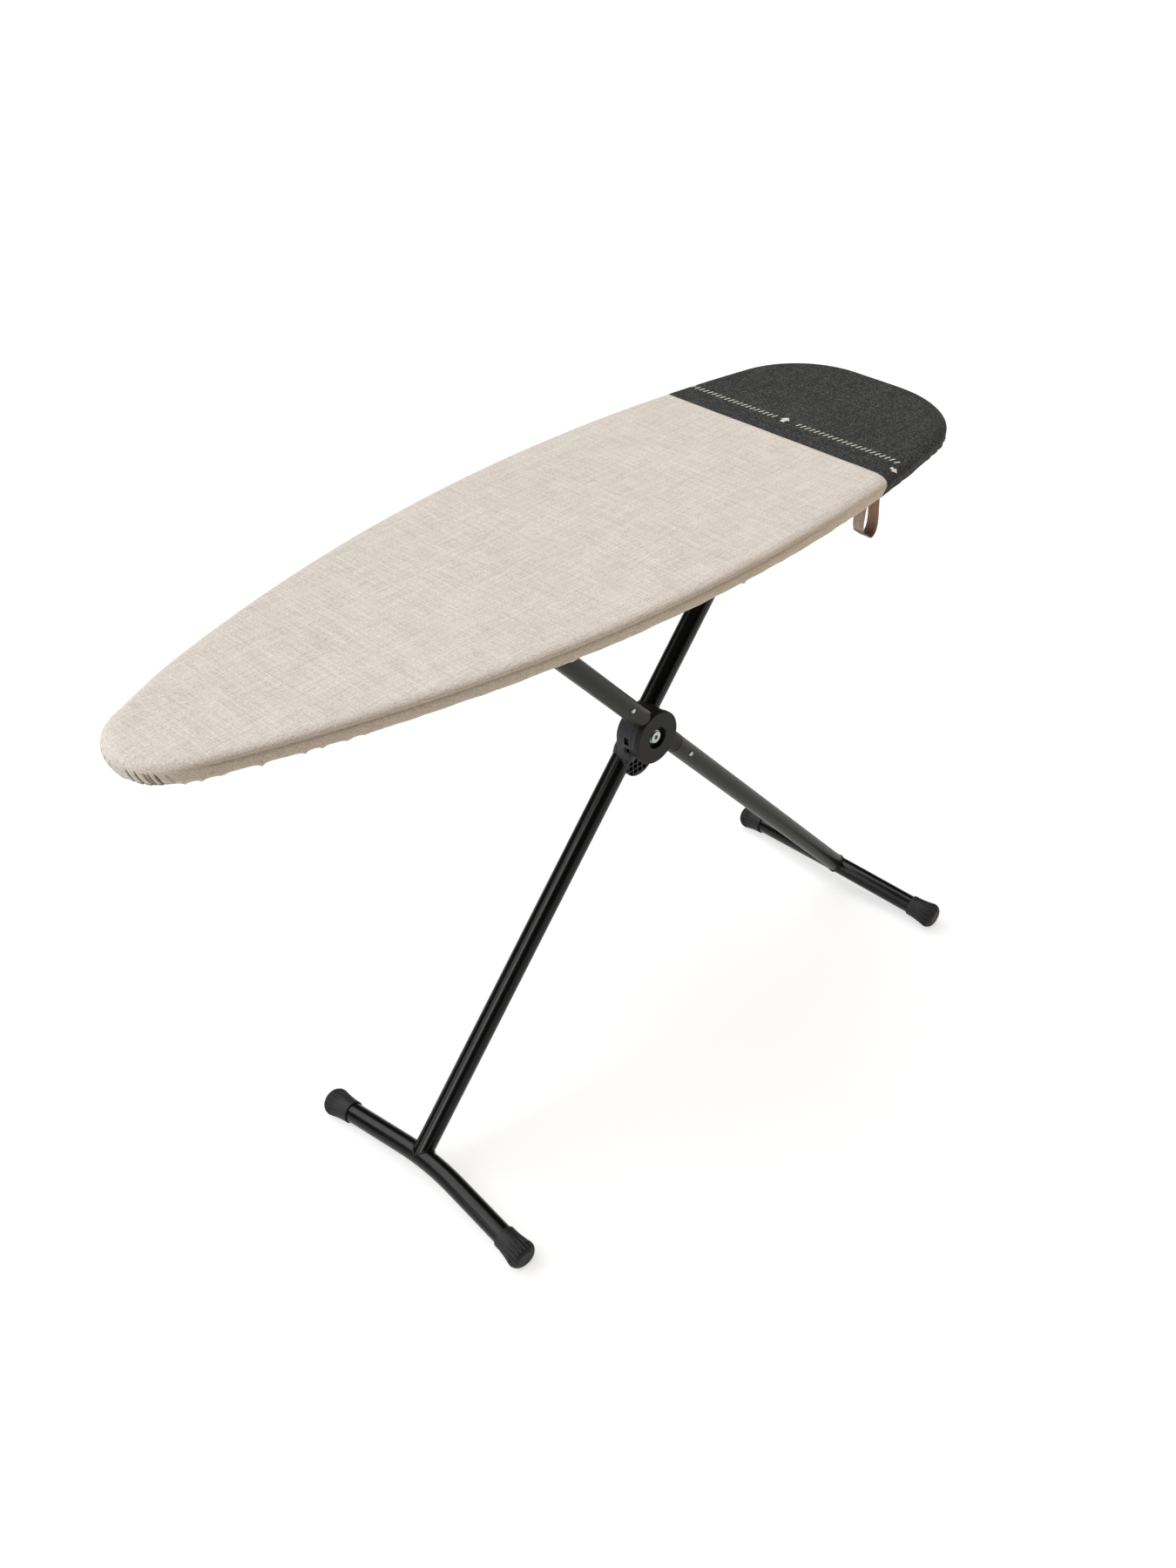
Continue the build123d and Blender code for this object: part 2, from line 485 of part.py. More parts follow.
core -= rod_y(HUB_X, HUB_HEIGHT, -60, 60, PIVOT_DIAMETER / 2 + 0.08)
parts["hinge_core"] = core - drill[0] - drill[1]
washer = rod_y(HUB_X, HUB_HEIGHT, HUB_SPLIT_Y, SADDLE_FACE_Y, 28.0)
parts["friction_washer"] = washer - rod_y(HUB_X, HUB_HEIGHT, -60, 60, PIVOT_DIAMETER / 2 + 0.4)

# Slide axle with its bushes and clips
parts["slide_axle"] = rod_y(axle_x, TOP_PIVOT_HEIGHT, -RAIL_Y - 10.6, RAIL_Y + 10.6, PIVOT_DIAMETER / 2)
bushes = []
for side in (-1, 1):
    inner = side * (RAIL_Y - 0.4)
    outer = side * (RAIL_Y + 2.4)
    spool = rod_y(axle_x, TOP_PIVOT_HEIGHT, inner - side * 2, outer + side * 2, 6.4)
    spool += rod_y(axle_x, TOP_PIVOT_HEIGHT, inner - side * 2, inner, 10.0)
    spool += rod_y(axle_x, TOP_PIVOT_HEIGHT, outer, outer + side * 2, 10.0)
    bushes.append(spool - rod_y(axle_x, TOP_PIVOT_HEIGHT, -100, 100, PIVOT_DIAMETER / 2 + 0.05))
parts["slide_bushes"] = Compound(bushes)
parts["axle_clips"] = Compound([clip(axle_x, TOP_PIVOT_HEIGHT, side * (RAIL_Y + 5.6), side) for side in (-1, 1)])

# Height lock: a notched comb under the axle, its pin and spring, the release rod and the pull strap
tips = TOP_PIVOT_HEIGHT - PIVOT_DIAMETER / 2 - 0.5
comb_top = station(RAIL_END + 10)
blade = make_face(Polyline(
    (pin_x, COMB_PIN_HEIGHT + 6.5), (comb_top, tips), (comb_top, tips - 16.5), (pin_x, COMB_PIN_HEIGHT - 9),
    close=True))
blade += Pos(pin_x, COMB_PIN_HEIGHT) * Circle(9.0)
blade -= Pos(pin_x, COMB_PIN_HEIGHT) * Circle(4.08)
leg_length = LEG_UPPER + FRONT_LEG_LOWER
notch_angles = [FOLDED_ANGLE]
for height in HEIGHT_STEPS:
    notch_angles.append(math.degrees(math.asin(SIN - (BOARD_HEIGHT - height) / leg_length)))
for angle in notch_angles:
    blade -= Pos(station(axle_station(angle)), tips + 1.0) * Circle(5.9)
parts["locking_comb"] = profile_y(blade, COMB_Y - COMB_THICKNESS / 2, COMB_Y + COMB_THICKNESS / 2)
pin = rod_y(pin_x, COMB_PIN_HEIGHT, -RAIL_Y - 2.5, COMB_Y + 2.0, 4.0)
pin += rod_y(pin_x, COMB_PIN_HEIGHT, -RAIL_Y - 4.5, -RAIL_Y - 2.0, 7.0)
pin += rod_y(pin_x, COMB_PIN_HEIGHT, COMB_Y + 1.7, COMB_Y + 3.5, 6.0)
parts["comb_pin"] = pin

COIL_RADIUS = 5.6
COIL_PITCH = 2.3
COIL_TURNS = 2.5
WIRE_RADIUS = 0.75
coil_path = Helix(pitch=COIL_PITCH, height=COIL_PITCH * COIL_TURNS, radius=COIL_RADIUS)
coil_plane = Plane(origin=coil_path @ 0, z_dir=coil_path % 0)
coil = sweep(coil_plane * Circle(WIRE_RADIUS), path=coil_path, is_frenet=True)
first_arm = extrude(Plane(origin=coil_path @ 0, z_dir=(coil_path % 0) * -1) * Circle(WIRE_RADIUS), 24)
last_arm = extrude(Plane(origin=coil_path @ 1, z_dir=coil_path % 1) * Circle(WIRE_RADIUS), 24)
coil_seat = Plane(origin=(pin_x, COMB_Y - 3.9, COMB_PIN_HEIGHT), x_dir=(0, 0, -1), z_dir=(0, -1, 0))
parts["comb_spring"] = coil_seat * (coil + first_arm + last_arm)
samples = [coil_path @ (k / 200) for k in range(201)]
HALF_TURN = round(100 / COIL_TURNS)
coil_gap = min((a - b).length for k, a in enumerate(samples) for b in samples[k + HALF_TURN:]) - 2 * WIRE_RADIUS

ROD_RADIUS = 3.0
rod_y0 = COMB_Y - COMB_THICKNESS / 2 - ROD_RADIUS - 0.02
rod_start = (station(440.0), rod_y0, 919.0)
rod_corner = (station(STRAP_STATION), rod_y0, STRAP_HEIGHT)
climb = math.atan2(STRAP_HEIGHT - rod_start[2], rod_corner[0] - rod_start[0])
turn = 18.0
before = (rod_corner[0] - turn * math.cos(climb), rod_y0, STRAP_HEIGHT - turn * math.sin(climb))
after = (rod_corner[0], rod_y0 - turn, STRAP_HEIGHT)
diagonal = turn * (1 - math.sqrt(0.5))
middle = (rod_corner[0] - diagonal * math.cos(climb), rod_y0 - diagonal, STRAP_HEIGHT - diagonal * math.sin(climb))
rod_end = (rod_corner[0], STRAP_NEAR_Y + 10.0, STRAP_HEIGHT)
rod_path = Wire([Line(rod_start, before), ThreePointArc(before, middle, after), Line(after, rod_end)])
rod_plane = Plane(origin=rod_start, z_dir=(math.cos(climb), 0, math.sin(climb)))
parts["release_rod"] = sweep(rod_plane * Circle(ROD_RADIUS), path=rod_path)
STRAP_FAR_Y = STRAP_NEAR_Y + STRAP_WIDTH
spool_left = (rod_corner[0] - SPOOL_HALF, STRAP_HEIGHT)
spool_right = (rod_corner[0] + SPOOL_HALF, STRAP_HEIGHT)
strap_low = (rod_corner[0] - 4.0, STRAP_BOTTOM + STRAP_LOOP_RADIUS)


def strap_loop(top_radius, low_radius):
    """Face round the two ends of the flat spool and the round bottom of the loop."""
    face = circle_hull(spool_left, top_radius, spool_right, top_radius)
    face += circle_hull(spool_left, top_radius, strap_low, low_radius)
    face += circle_hull(spool_right, top_radius, strap_low, low_radius)
    return face + Polygon(spool_left, spool_right, strap_low, align=None)


spool_face = circle_hull(spool_left, SPOOL_RADIUS, spool_right, SPOOL_RADIUS)
spool = profile_y(spool_face, STRAP_NEAR_Y + 6.0, STRAP_FAR_Y + 2.5)
parts["strap_spool"] = spool - rod_y(rod_corner[0], STRAP_HEIGHT, STRAP_NEAR_Y + 9.9, -130, ROD_RADIUS + 0.02)
strap = strap_loop(SPOOL_RADIUS + 0.05 + STRAP_THICKNESS, STRAP_LOOP_RADIUS)
strap -= strap_loop(SPOOL_RADIUS + 0.05, STRAP_LOOP_RADIUS - STRAP_THICKNESS)
parts["pull_strap"] = profile_y(strap, STRAP_NEAR_Y, STRAP_FAR_Y)

for name, shape in parts.items():
    export_step(shape, "parts/" + name + ".step")
whole = Compound([solid for shape in parts.values() for solid in shape.solids()]).bounding_box()
print(len(parts), "nodes", whole.min, whole.max)
print("front pivot", round(FRONT_PIVOT_STATION, 2), "axle", round(AXLE_STATION, 2), "upper", round(LEG_UPPER, 2))
print("least gap between the spring's turns", round(coil_gap, 2))
print("notch angles", [round(angle, 1) for angle in notch_angles], "folded axle", round(axle_station(FOLDED_ANGLE), 1))
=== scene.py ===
# %% [markdown]
# # An ironing board with crossed legs
# The solids of this board, with their places and sizes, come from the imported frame. This lesson
# dresses them: a camera and soft light first, then the stretched cover with its gathered hem, the
# pull strap, and last the paints, plastics and rubber of the stand. Lengths are metres.

# %% Load the frame
import json
import math

import bmesh
import bpy
import numpy as np
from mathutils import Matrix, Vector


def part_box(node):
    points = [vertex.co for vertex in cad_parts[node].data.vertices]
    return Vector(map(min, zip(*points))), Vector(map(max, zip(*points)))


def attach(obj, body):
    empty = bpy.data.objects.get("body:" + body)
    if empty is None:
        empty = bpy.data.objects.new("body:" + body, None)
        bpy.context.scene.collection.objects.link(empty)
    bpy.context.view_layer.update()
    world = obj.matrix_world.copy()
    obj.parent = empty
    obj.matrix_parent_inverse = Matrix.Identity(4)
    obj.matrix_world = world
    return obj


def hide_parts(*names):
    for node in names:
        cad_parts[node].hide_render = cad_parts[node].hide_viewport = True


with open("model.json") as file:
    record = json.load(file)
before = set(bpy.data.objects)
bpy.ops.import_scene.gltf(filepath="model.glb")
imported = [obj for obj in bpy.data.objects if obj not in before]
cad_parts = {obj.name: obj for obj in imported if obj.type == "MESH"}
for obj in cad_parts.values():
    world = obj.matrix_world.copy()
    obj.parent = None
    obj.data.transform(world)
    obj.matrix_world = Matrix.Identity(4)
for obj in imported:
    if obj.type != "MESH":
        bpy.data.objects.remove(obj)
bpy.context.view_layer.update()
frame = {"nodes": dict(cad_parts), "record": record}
MM = 0.001

# %% [markdown]
# ## The photograph's view
# The camera stands beyond the tip, out on the near side and a little above head height, and looks
# down on the board. A shift moves the picture sideways without turning the camera, as a view camera
# does, so that the legs keep their perspective.

# %% Camera
CAMERA_PLACE = (-1.29120, -1.36117, 1.96641)
CAMERA_TURN = math.radians(-47.016)
CAMERA_LOOK_DOWN = math.radians(37.323)
CAMERA_SHIFT = (-0.0462, 0.0106)
LENS_IN_MM = 37.01
scene = bpy.context.scene
camera_data = bpy.data.cameras.new("camera")
camera_data.lens = LENS_IN_MM
camera_data.shift_x, camera_data.shift_y = CAMERA_SHIFT
camera = bpy.data.objects.new("camera", camera_data)
camera.location = CAMERA_PLACE
camera.rotation_euler = (math.radians(90) - CAMERA_LOOK_DOWN, 0, CAMERA_TURN)
scene.collection.objects.link(camera)
scene.camera = camera
scene.view_settings.view_transform = "Standard"
print("camera", CAMERA_PLACE)

# %% [markdown]
# ## Colours and shader nodes
# Colours are noted as sRGB hex values, the way a colour picker shows them, but shaders work on
# linear light. One function converts them. A second one adds any shader node: its inputs are
# given as plain values or as another node's output, which is then linked. Sums of outputs and
# mixes of colours are so common that each has a short form.

# %% Colour and node helpers
def linear(code):
    """Linear colour of an sRGB hex value."""
    channels = [int(code[place:place + 2], 16) / 255 for place in (0, 2, 4)]
    return [c / 12.92 if c <= 0.04045 else ((c + 0.055) / 1.055) ** 2.4 for c in channels] + [1.0]


def node(tree, kind, inputs=(), **settings):
    """Adds a node with its settings, and sets or links its inputs."""
    made = tree.nodes.new(kind)
    for name, value in settings.items():
        setattr(made, name, value)
    for name, value in dict(inputs).items():
        if isinstance(value, bpy.types.NodeSocket):
            tree.links.new(value, made.inputs[name])
        else:
            made.inputs[name].default_value = value
    return made


def maths(tree, operation, *values):
    """Output of a maths node on plain values or other outputs."""
    return node(tree, "ShaderNodeMath", enumerate(values), operation=operation).outputs[0]


def mixed(tree, share, first, second, way="MIX"):
    """Output of a colour mix, where a share of one gives the second colour."""
    inputs = {"Factor": share, "A": first, "B": second}
    return node(tree, "ShaderNodeMix", inputs, data_type="RGBA", blend_type=way).outputs["Result"]


def add_bump(tree, shader, height, strength, distance):
    """Bump of the shader's surface from an output."""
    inputs = {"Height": height, "Strength": strength, "Distance": distance}
    tree.links.new(node(tree, "ShaderNodeBump", inputs).outputs["Normal"], shader.inputs["Normal"])


def new_material(name, **sockets):
    """Material with one principled shader, whose constant sockets are given by name."""
    material = bpy.data.materials.new(name)
    material.use_nodes = True
    shader = material.node_tree.nodes["Principled BSDF"]
    for socket, value in sockets.items():
        shader.inputs[socket.replace("_", " ")].default_value = value
    return material, material.node_tree, shader


print("white", linear("ffffff"))

# %% [markdown]
# ## A pale studio
# The board stands on a white floor under one very wide, soft light, so it seems to float on white
# with faint shadows at its feet. A sun lamp with a wide disc lights the floor evenly as far as the
# picture reaches, which a softbox can't. It leans in from behind and from the tip, so the near
# side of the cover gets only the light of the floor and of the warm softbox on the right. The floor
# glows a little, as a light table does, which keeps it white under the board. Two tall softboxes
# draw the long highlights on the round tubes, and a strip that shows only in glossy surfaces, as a
# reflector card does, makes the one on the black leg crisp.

# %% Floor and lights
FLOOR_SIZE = 60.0
FLOOR_GLOW = 0.68
SKY_STRENGTH = 0.06
SUN_STRENGTH = 4.0
SUN_DISC = math.radians(70)
SUN_LEAN = (math.radians(-18), math.radians(-12), 0)
half = FLOOR_SIZE / 2
floor_corners = [(-half, -half, 0), (half, -half, 0), (half, half, 0), (-half, half, 0)]
floor_mesh = bpy.data.meshes.new("floor")
floor_mesh.from_pydata(floor_corners, [], [(0, 1, 2, 3)])
floor = bpy.data.objects.new("floor", floor_mesh)
scene.collection.objects.link(floor)
floor_paint, _, _ = new_material(
    "white_floor", Base_Color=linear("a0a0a0"), Roughness=1.0, Specular_IOR_Level=0.0,
    Emission_Color=linear("ffffff"), Emission_Strength=FLOOR_GLOW)
floor_mesh.materials.append(floor_paint)
world = bpy.data.worlds.new("studio")
world.use_nodes = True
world.node_tree.nodes["Background"].inputs["Color"].default_value = linear("fff4e6")
world.node_tree.nodes["Background"].inputs["Strength"].default_value = SKY_STRENGTH
scene.world = world
overhead_data = bpy.data.lights.new("overhead", "SUN")
overhead_data.energy = SUN_STRENGTH
overhead_data.angle = SUN_DISC
overhead = bpy.data.objects.new("overhead", overhead_data)
overhead.rotation_euler = SUN_LEAN
scene.collection.objects.link(overhead)
SOFTBOXES = (
    ("left_softbox", (-2.6, 1.0, 1.5), (0.1, 0.0, 0.6), (0.45, 2.4), "ffffff", 14.0, True),
    ("right_softbox", (1.9, -2.4, 1.6), (0.2, 0.0, 0.5), (0.6, 2.4), "ffdeaa", 16.0, True),
    ("strip_card", (-2.9, -0.25, 1.5), (0.1, 0.0, 0.6), (1.2, 2.4), "ffffff", 58.0, False),
)
for name, place, target, size, colour, power, lights_cloth in SOFTBOXES:
    light = bpy.data.lights.new(name, "AREA")
    light.shape = "RECTANGLE"
    light.size, light.size_y = size
    light.color = linear(colour)[:3]
    light.energy = power
    softbox = bpy.data.objects.new(name, light)
    softbox.location = place
    softbox.visible_diffuse = lights_cloth
    aim = np.subtract(target, place)
    softbox.rotation_euler = (
        math.atan2(math.hypot(aim[0], aim[1]), -aim[2]), 0, math.atan2(aim[1], aim[0]) - math.pi / 2)
    scene.collection.objects.link(softbox)
print("lights", [row[0] for row in SOFTBOXES])

# %% [markdown]
# ## A round backdrop
# Seen from low down, the floor ends at a horizon. A round white wall far off closes the view there,
# as a studio's paper roll does. Only the camera sees it, so it adds no light and no reflection.

# %% Backdrop
WALL_RADIUS = 29.0
WALL_FOOT = -1.0
WALL_HEIGHT = 40.0
WALL_POINTS = 96
wall_turns = np.linspace(0, 2 * math.pi, WALL_POINTS, endpoint=False)
wall_points = [(WALL_RADIUS * math.cos(turn), WALL_RADIUS * math.sin(turn), height)
               for height in (WALL_FOOT, WALL_HEIGHT) for turn in wall_turns]
wall_faces = []
for place in range(WALL_POINTS):
    beside = (place + 1) % WALL_POINTS
    wall_faces.append((place, beside, WALL_POINTS + beside, WALL_POINTS + place))
wall_mesh = bpy.data.meshes.new("backdrop")
wall_mesh.from_pydata(wall_points, [], wall_faces)
backdrop = bpy.data.objects.new("backdrop", wall_mesh)
scene.collection.objects.link(backdrop)
wall_paper, _, _ = new_material(
    "white_paper_roll", Base_Color=linear("000000"), Roughness=1.0, Specular_IOR_Level=0.0,
    Emission_Color=linear("ffffff"), Emission_Strength=1.0)
wall_mesh.materials.append(wall_paper)
backdrop.visible_diffuse = False
backdrop.visible_glossy = False
backdrop.visible_transmission = False
backdrop.visible_shadow = False
print("backdrop", len(wall_faces), "faces")

# %% [markdown]
# ## The board's outline
# Cover, pad and hem all follow one outline: a round nose, two long shallow flanks, two rear
# corners and a short straight end. Every piece of it is an arc, so a point moved inwards by some
# inset stays on an arc about the same centre. The outline is walked once round, and each point
# carries its outward direction and its distance along the walk.

# %% Outline walk
BOARD_TIP = -0.680
BOARD_LENGTH = 1.350
HALF_WIDTH = 0.225
BOARD_TOP = 0.980
WIDEST = 0.817
FRONT_FLANK = 2.032
REAR_FLANK = 2.108
REAR_CORNER = 0.136
SEAM = 1.085
front_drop = HALF_WIDTH - FRONT_FLANK
rear_drop = HALF_WIDTH - REAR_FLANK
NOSE = (FRONT_FLANK ** 2 - WIDEST ** 2 - front_drop ** 2) / (2 * (FRONT_FLANK - WIDEST))
corner_x = BOARD_LENGTH - REAR_CORNER
corner_y = rear_drop + math.sqrt((REAR_FLANK - REAR_CORNER) ** 2 - (corner_x - WIDEST) ** 2)
nose_turn = math.atan2(-front_drop, NOSE - WIDEST)
corner_turn = math.atan2(corner_y - rear_drop, corner_x - WIDEST)


def arc(centre, radius, start, end, step):
    """Points and outward directions along an arc, without its last point."""
    count = max(4, round(abs(end - start) * radius / step))
    angles = np.linspace(start, end, count, endpoint=False)
    outward = np.stack([np.cos(angles), np.sin(angles)], axis=1)
    return np.array(centre) + radius * outward, outward


def half_outline(step, corner_step, nose_step):
    """Far half of the outline, from the middle of the square end to the tip."""
    count = max(3, round(corner_y / step))
    end_y = np.linspace(0, corner_y, count, endpoint=False)
    square_end = np.stack([np.full(count, BOARD_LENGTH), end_y], axis=1)
    runs = [
        (square_end, np.tile((1.0, 0.0), (count, 1))),
        arc((corner_x, corner_y), REAR_CORNER, 0.0, corner_turn, corner_step),
        arc((WIDEST, rear_drop), REAR_FLANK, corner_turn, math.pi / 2, step),
        arc((WIDEST, front_drop), FRONT_FLANK, math.pi / 2, nose_turn, step),
        arc((NOSE, 0.0), NOSE, nose_turn, math.pi, nose_step),
    ]
    return np.vstack([run[0] for run in runs]), np.vstack([run[1] for run in runs])


def outline(*steps):
    """Closed outline: points, outward directions, distance of each point along it, and its length."""
    points, outward = half_outline(*steps)
    tip = np.array([[0.0, 0.0]]), np.array([[-1.0, 0.0]])
    mirror = np.array([1.0, -1.0])
    loop = np.vstack([points, tip[0], points[:0:-1] * mirror])
    out = np.vstack([outward, tip[1], outward[:0:-1] * mirror])
    gaps = np.linalg.norm(np.roll(loop, -1, axis=0) - loop, axis=1)
    walk = np.concatenate([[0.0], np.cumsum(gaps)[:-1]])
    return loop + np.array([BOARD_TIP, 0.0]), out, walk, gaps.sum()


edge, edge_out, edge_walk, EDGE_LENGTH = outline(4 * MM, 2.5 * MM, 0.8 * MM)
print("outline", len(edge), "points,", round(EDGE_LENGTH, 3), "m round")

# %% [markdown]
# ## Where the hem gathers
# The cover is a flat cloth pulled over the edge by an elastic. Where the edge is straight the
# cloth turns under smoothly. Where the edge turns, at the nose and at the two rear corners, the
# hem has to shorten, and the spare cloth falls into folds. A cloth simulation finds such folds by
# itself, but not where the real ones are, so here they are placed: sharp slits that lean
# round the nose, soft lumps at the rear corners, and a few pointed puckers along the flanks. Slits
# and puckers are noted by their distance from the tip along the edge, slits also by their depth.

# %% Fold helpers
rng = np.random.default_rng(7)
TIP_WALK = EDGE_LENGTH / 2


def falloff(values, middle, width):
    """Soft bump of height one."""
    return np.exp(-((values - middle) / width) ** 2)


def ease(values, start, end):
    """Smooth step from zero to one."""
    share = np.clip((values - start) / (end - start), 0, 1)
    return share * share * (3 - 2 * share)


def uneven_phase(pitch, wobble):
    """Phase that grows by one per fold, with folds of uneven width."""
    count = round(EDGE_LENGTH / pitch)
    knots = np.arange(count + 1) + np.concatenate([[0], rng.uniform(-wobble, wobble, count - 1), [0]])
    return np.interp(edge_walk / EDGE_LENGTH * count, np.sort(knots), np.arange(count + 1))


print("tip at", round(TIP_WALK, 3), "m along the edge")

# %% Folds along the edge
NEAR_SLITS = (
    (0.026, 1.0), (0.037, 1.0), (0.0475, 0.75), (0.0517, 0.75), (0.0595, 1.0), (0.072, 0.3),
)
FAR_SLITS = (
    (0.006, 0.5), (0.018, 0.8), (0.031, 0.9), (0.043, 0.7), (0.052, 0.9), (0.066, 0.5), (0.083, 0.4),
)
NEAR_PUCKERS = (0.0855, 0.104, 0.1255, 0.1677, 0.2152, 0.2356, 0.2645, 0.2849, 0.552, 0.83)
FAR_PUCKERS = (0.118, 0.149, 0.204, 0.262, 0.318, 0.497, 0.71)
SLIT_DEPTH = 1.8 * MM
SLIT_WIDTH = 1.0 * MM
SLIT_LEAN = 8.0 * MM
SLIT_DARKNESS = 1.3
SLIT_LIP = 0.6 * MM
LIP_REACH = 4.5 * MM
PUCKER_REACH = 2.6 * MM
LUMP_PITCH = 23 * MM
LUMP_HEIGHT = 3.0 * MM
WAVE_PITCH = 47 * MM
WAVE_HEIGHT = 0.4 * MM
DROOP = 0.5 * MM
DROOP_PLACES = 90
slits = [(TIP_WALK + place, 1.0, depth) for place, depth in NEAR_SLITS]
slits += [(TIP_WALK - place, -1.0, depth) for place, depth in FAR_SLITS]
slits = [(place, way, depth, rng.uniform(0.85, 1.15)) for place, way, depth in slits]
puckers = [TIP_WALK + place for place in NEAR_PUCKERS] + [TIP_WALK - place for place in FAR_PUCKERS]
pucker = sum(rng.uniform(0.6, 1.0) * np.exp(-np.abs(edge_walk - place) / PUCKER_REACH) for place in puckers)
lump_phase = uneven_phase(LUMP_PITCH, 0.3)
wave_phase = uneven_phase(WAVE_PITCH, 0.4)
at_end = ease(edge[:, 0], BOARD_TIP + 1.17, BOARD_TIP + 1.27)
rear_share = at_end * (0.3 + 0.7 * ease(np.abs(edge[:, 1]), 0.02, 0.07))
droop_walk = np.linspace(0, EDGE_LENGTH, DROOP_PLACES)
droop = DROOP * np.interp(edge_walk, droop_walk, rng.uniform(-1, 1, DROOP_PLACES))


def beside_slit(place, way, lean, share):
    """Distance of each edge point from a leaning slit, at a share of the way from the crease to the hem."""
    return (edge_walk - place) * way - SLIT_LEAN * lean * (share - 0.5)


def slit_shade(share):
    """One inside the slits, where the cloth doubles and no light gets in, and zero beside them."""
    total = np.zeros(len(edge_walk))
    for place, way, depth, lean in slits:
        total += depth * ease(share, 0.0, 0.25) * falloff(beside_slit(place, way, lean, share), 0, SLIT_WIDTH)
    return np.clip(SLIT_DARKNESS * total, 0, 1)


def gathers(share):
    """How far the cloth stands out, at a share of the way from the crease down to the hem."""
    total = -SLIT_DEPTH * slit_shade(share)
    for place, way, depth, lean in slits:
        beside = beside_slit(place, way, lean, share)
        lip = np.where(beside < 0, np.exp(beside / LIP_REACH), 0)
        total += SLIT_LIP * depth * ease(share, 0.0, 0.8) * lip
    lumps = np.abs(np.sin(math.pi * lump_phase)) ** 0.8 - 0.6
    total += LUMP_HEIGHT * rear_share * ease(share, 0.1, 1.0) * lumps
    total += WAVE_HEIGHT * share * (1 - rear_share) * np.sin(2 * math.pi * wave_phase)
    return total


print(len(slits), "slits round the nose,", len(puckers), "puckers on the flanks")

# %% [markdown]
# ## The cover
# On the real board the cover is two woven cloths sewn edge to edge: a beige melange and a charcoal
# cloth that stands the heat. It could be draped by a simulation, but its shape is nearly fixed by
# the board, so it is lofted: one ring of points for each line of its profile, from the elastic
# under the board, round the lower edge, up past the crease where the pad ends, over the rounded
# shoulder and in to the middle. Each row is an inset from the outline, a height and a share of the
# gathers. In two places the profile has no crease and rolls over in one round: at the nose, where
# the elastic pulls hardest, and on the near side beside the seam, where the padding swells. The
# shoulder is also a little wider on the near flank than on the far one.

# %% Profile of the cover
HEM_INSET = 24 * MM
LOWEST = 0.9524
UNDER_LEVEL = 0.9560
SIDE_LEVEL = 0.9588
CREASE_INSET = 1.7 * MM
CREASE_LEVEL = 0.9692
CREASE_SHADE = 0.1
CREASE_REACH = 3.2 * MM
SHOULDER_INSET = -0.4 * MM
SHOULDER_FOOT = 0.9716
SHOULDER = 11 * MM
SHOULDER_SKEW = 2 * MM
FLAT_TOP = BOARD_TOP - 0.25 * MM
NEAR_NOSE = (0.065, 0.135)
FAR_NOSE = (0.085, 0.19)
NOSE_ROLL = 19 * MM
NOSE_LEVEL = 0.9650
NOSE_UNDER = 9 * MM
NOSE_SAG = 2.4 * MM
SEAM_ROLL = 28 * MM
SEAM_LEVEL = 0.9665
SEAM_SWELL = 1.0 * MM
SEAM_POWER = 2.2
hem_rows = [
    (HEM_INSET, 0.9561, 1.0), (20 * MM, 0.9555, 1.0), (15 * MM, 0.9544, 1.0), (10 * MM, 0.9533, 1.0),
    (6 * MM, 0.9526, 1.0), (3.4 * MM, 0.9525, 1.0), (1.8 * MM, 0.9530, 1.0), (0.8 * MM, 0.9544, 0.97),
    (0.3 * MM, 0.9564, 0.88), (0.05 * MM, SIDE_LEVEL, 0.74), (0.0, 0.9611, 0.58), (0.15 * MM, 0.9634, 0.42),
    (0.5 * MM, 0.9654, 0.27), (1.0 * MM, 0.9671, 0.15), (1.5 * MM, 0.9683, 0.08),
    (CREASE_INSET, CREASE_LEVEL, 0.04), (1.4 * MM, 0.9699, 0.02), (0.8 * MM, 0.9705, 0.0),
    (0.1 * MM, 0.9710, 0.0),
]
shoulder_turns = np.linspace(0, math.pi / 2, 12)
top_shares = (0.03, 0.07, 0.13, 0.22, 0.34, 0.46, 0.58, 0.70, 0.80, 0.89, 0.95, 1.0)
near_side = edge_walk > TIP_WALK
nose_start, nose_end = np.where(near_side[:, None], NEAR_NOSE, FAR_NOSE).T
nose_share = 1 - ease(np.abs(edge_walk - TIP_WALK), nose_start, nose_end)
seam_share = ease(edge[:, 0], BOARD_TIP + 0.80, BOARD_TIP + 1.05) * ease(-edge[:, 1], 0.02, 0.14)
shoulder_width = SHOULDER - SHOULDER_SKEW * edge_out[:, 1]
shoulder_end = SHOULDER_INSET + shoulder_width
shoulder_end += (SEAM_ROLL - SEAM_SWELL - shoulder_end) * seam_share
shoulder_end += (NOSE_ROLL - shoulder_end) * nose_share
print("profile rows", len(hem_rows) + len(shoulder_turns) + len(top_shares))

# %% Shape of the two rolls
def rounded(share, power=2.0):
    """Height of a round corner at a share of its width. A power above two is fuller than an ellipse."""
    return max(0.0, 1 - share ** power) ** (1 / power)


def nose_inset(height):
    """Inset of the round nose at a height."""
    if height > NOSE_LEVEL:
        return NOSE_ROLL * (1 - rounded((height - NOSE_LEVEL) / (FLAT_TOP - NOSE_LEVEL)))
    return NOSE_UNDER * (1 - rounded((NOSE_LEVEL - height) / (NOSE_LEVEL - LOWEST)))


def seam_inset(height):
    """Inset of the soft roll beside the seam at a height."""
    if height < SEAM_LEVEL:
        return -SEAM_SWELL * ease(height, SIDE_LEVEL, SEAM_LEVEL)
    rise = (height - SEAM_LEVEL) / (FLAT_TOP - SEAM_LEVEL)
    return SEAM_ROLL * (1 - rounded(rise, SEAM_POWER)) - SEAM_SWELL


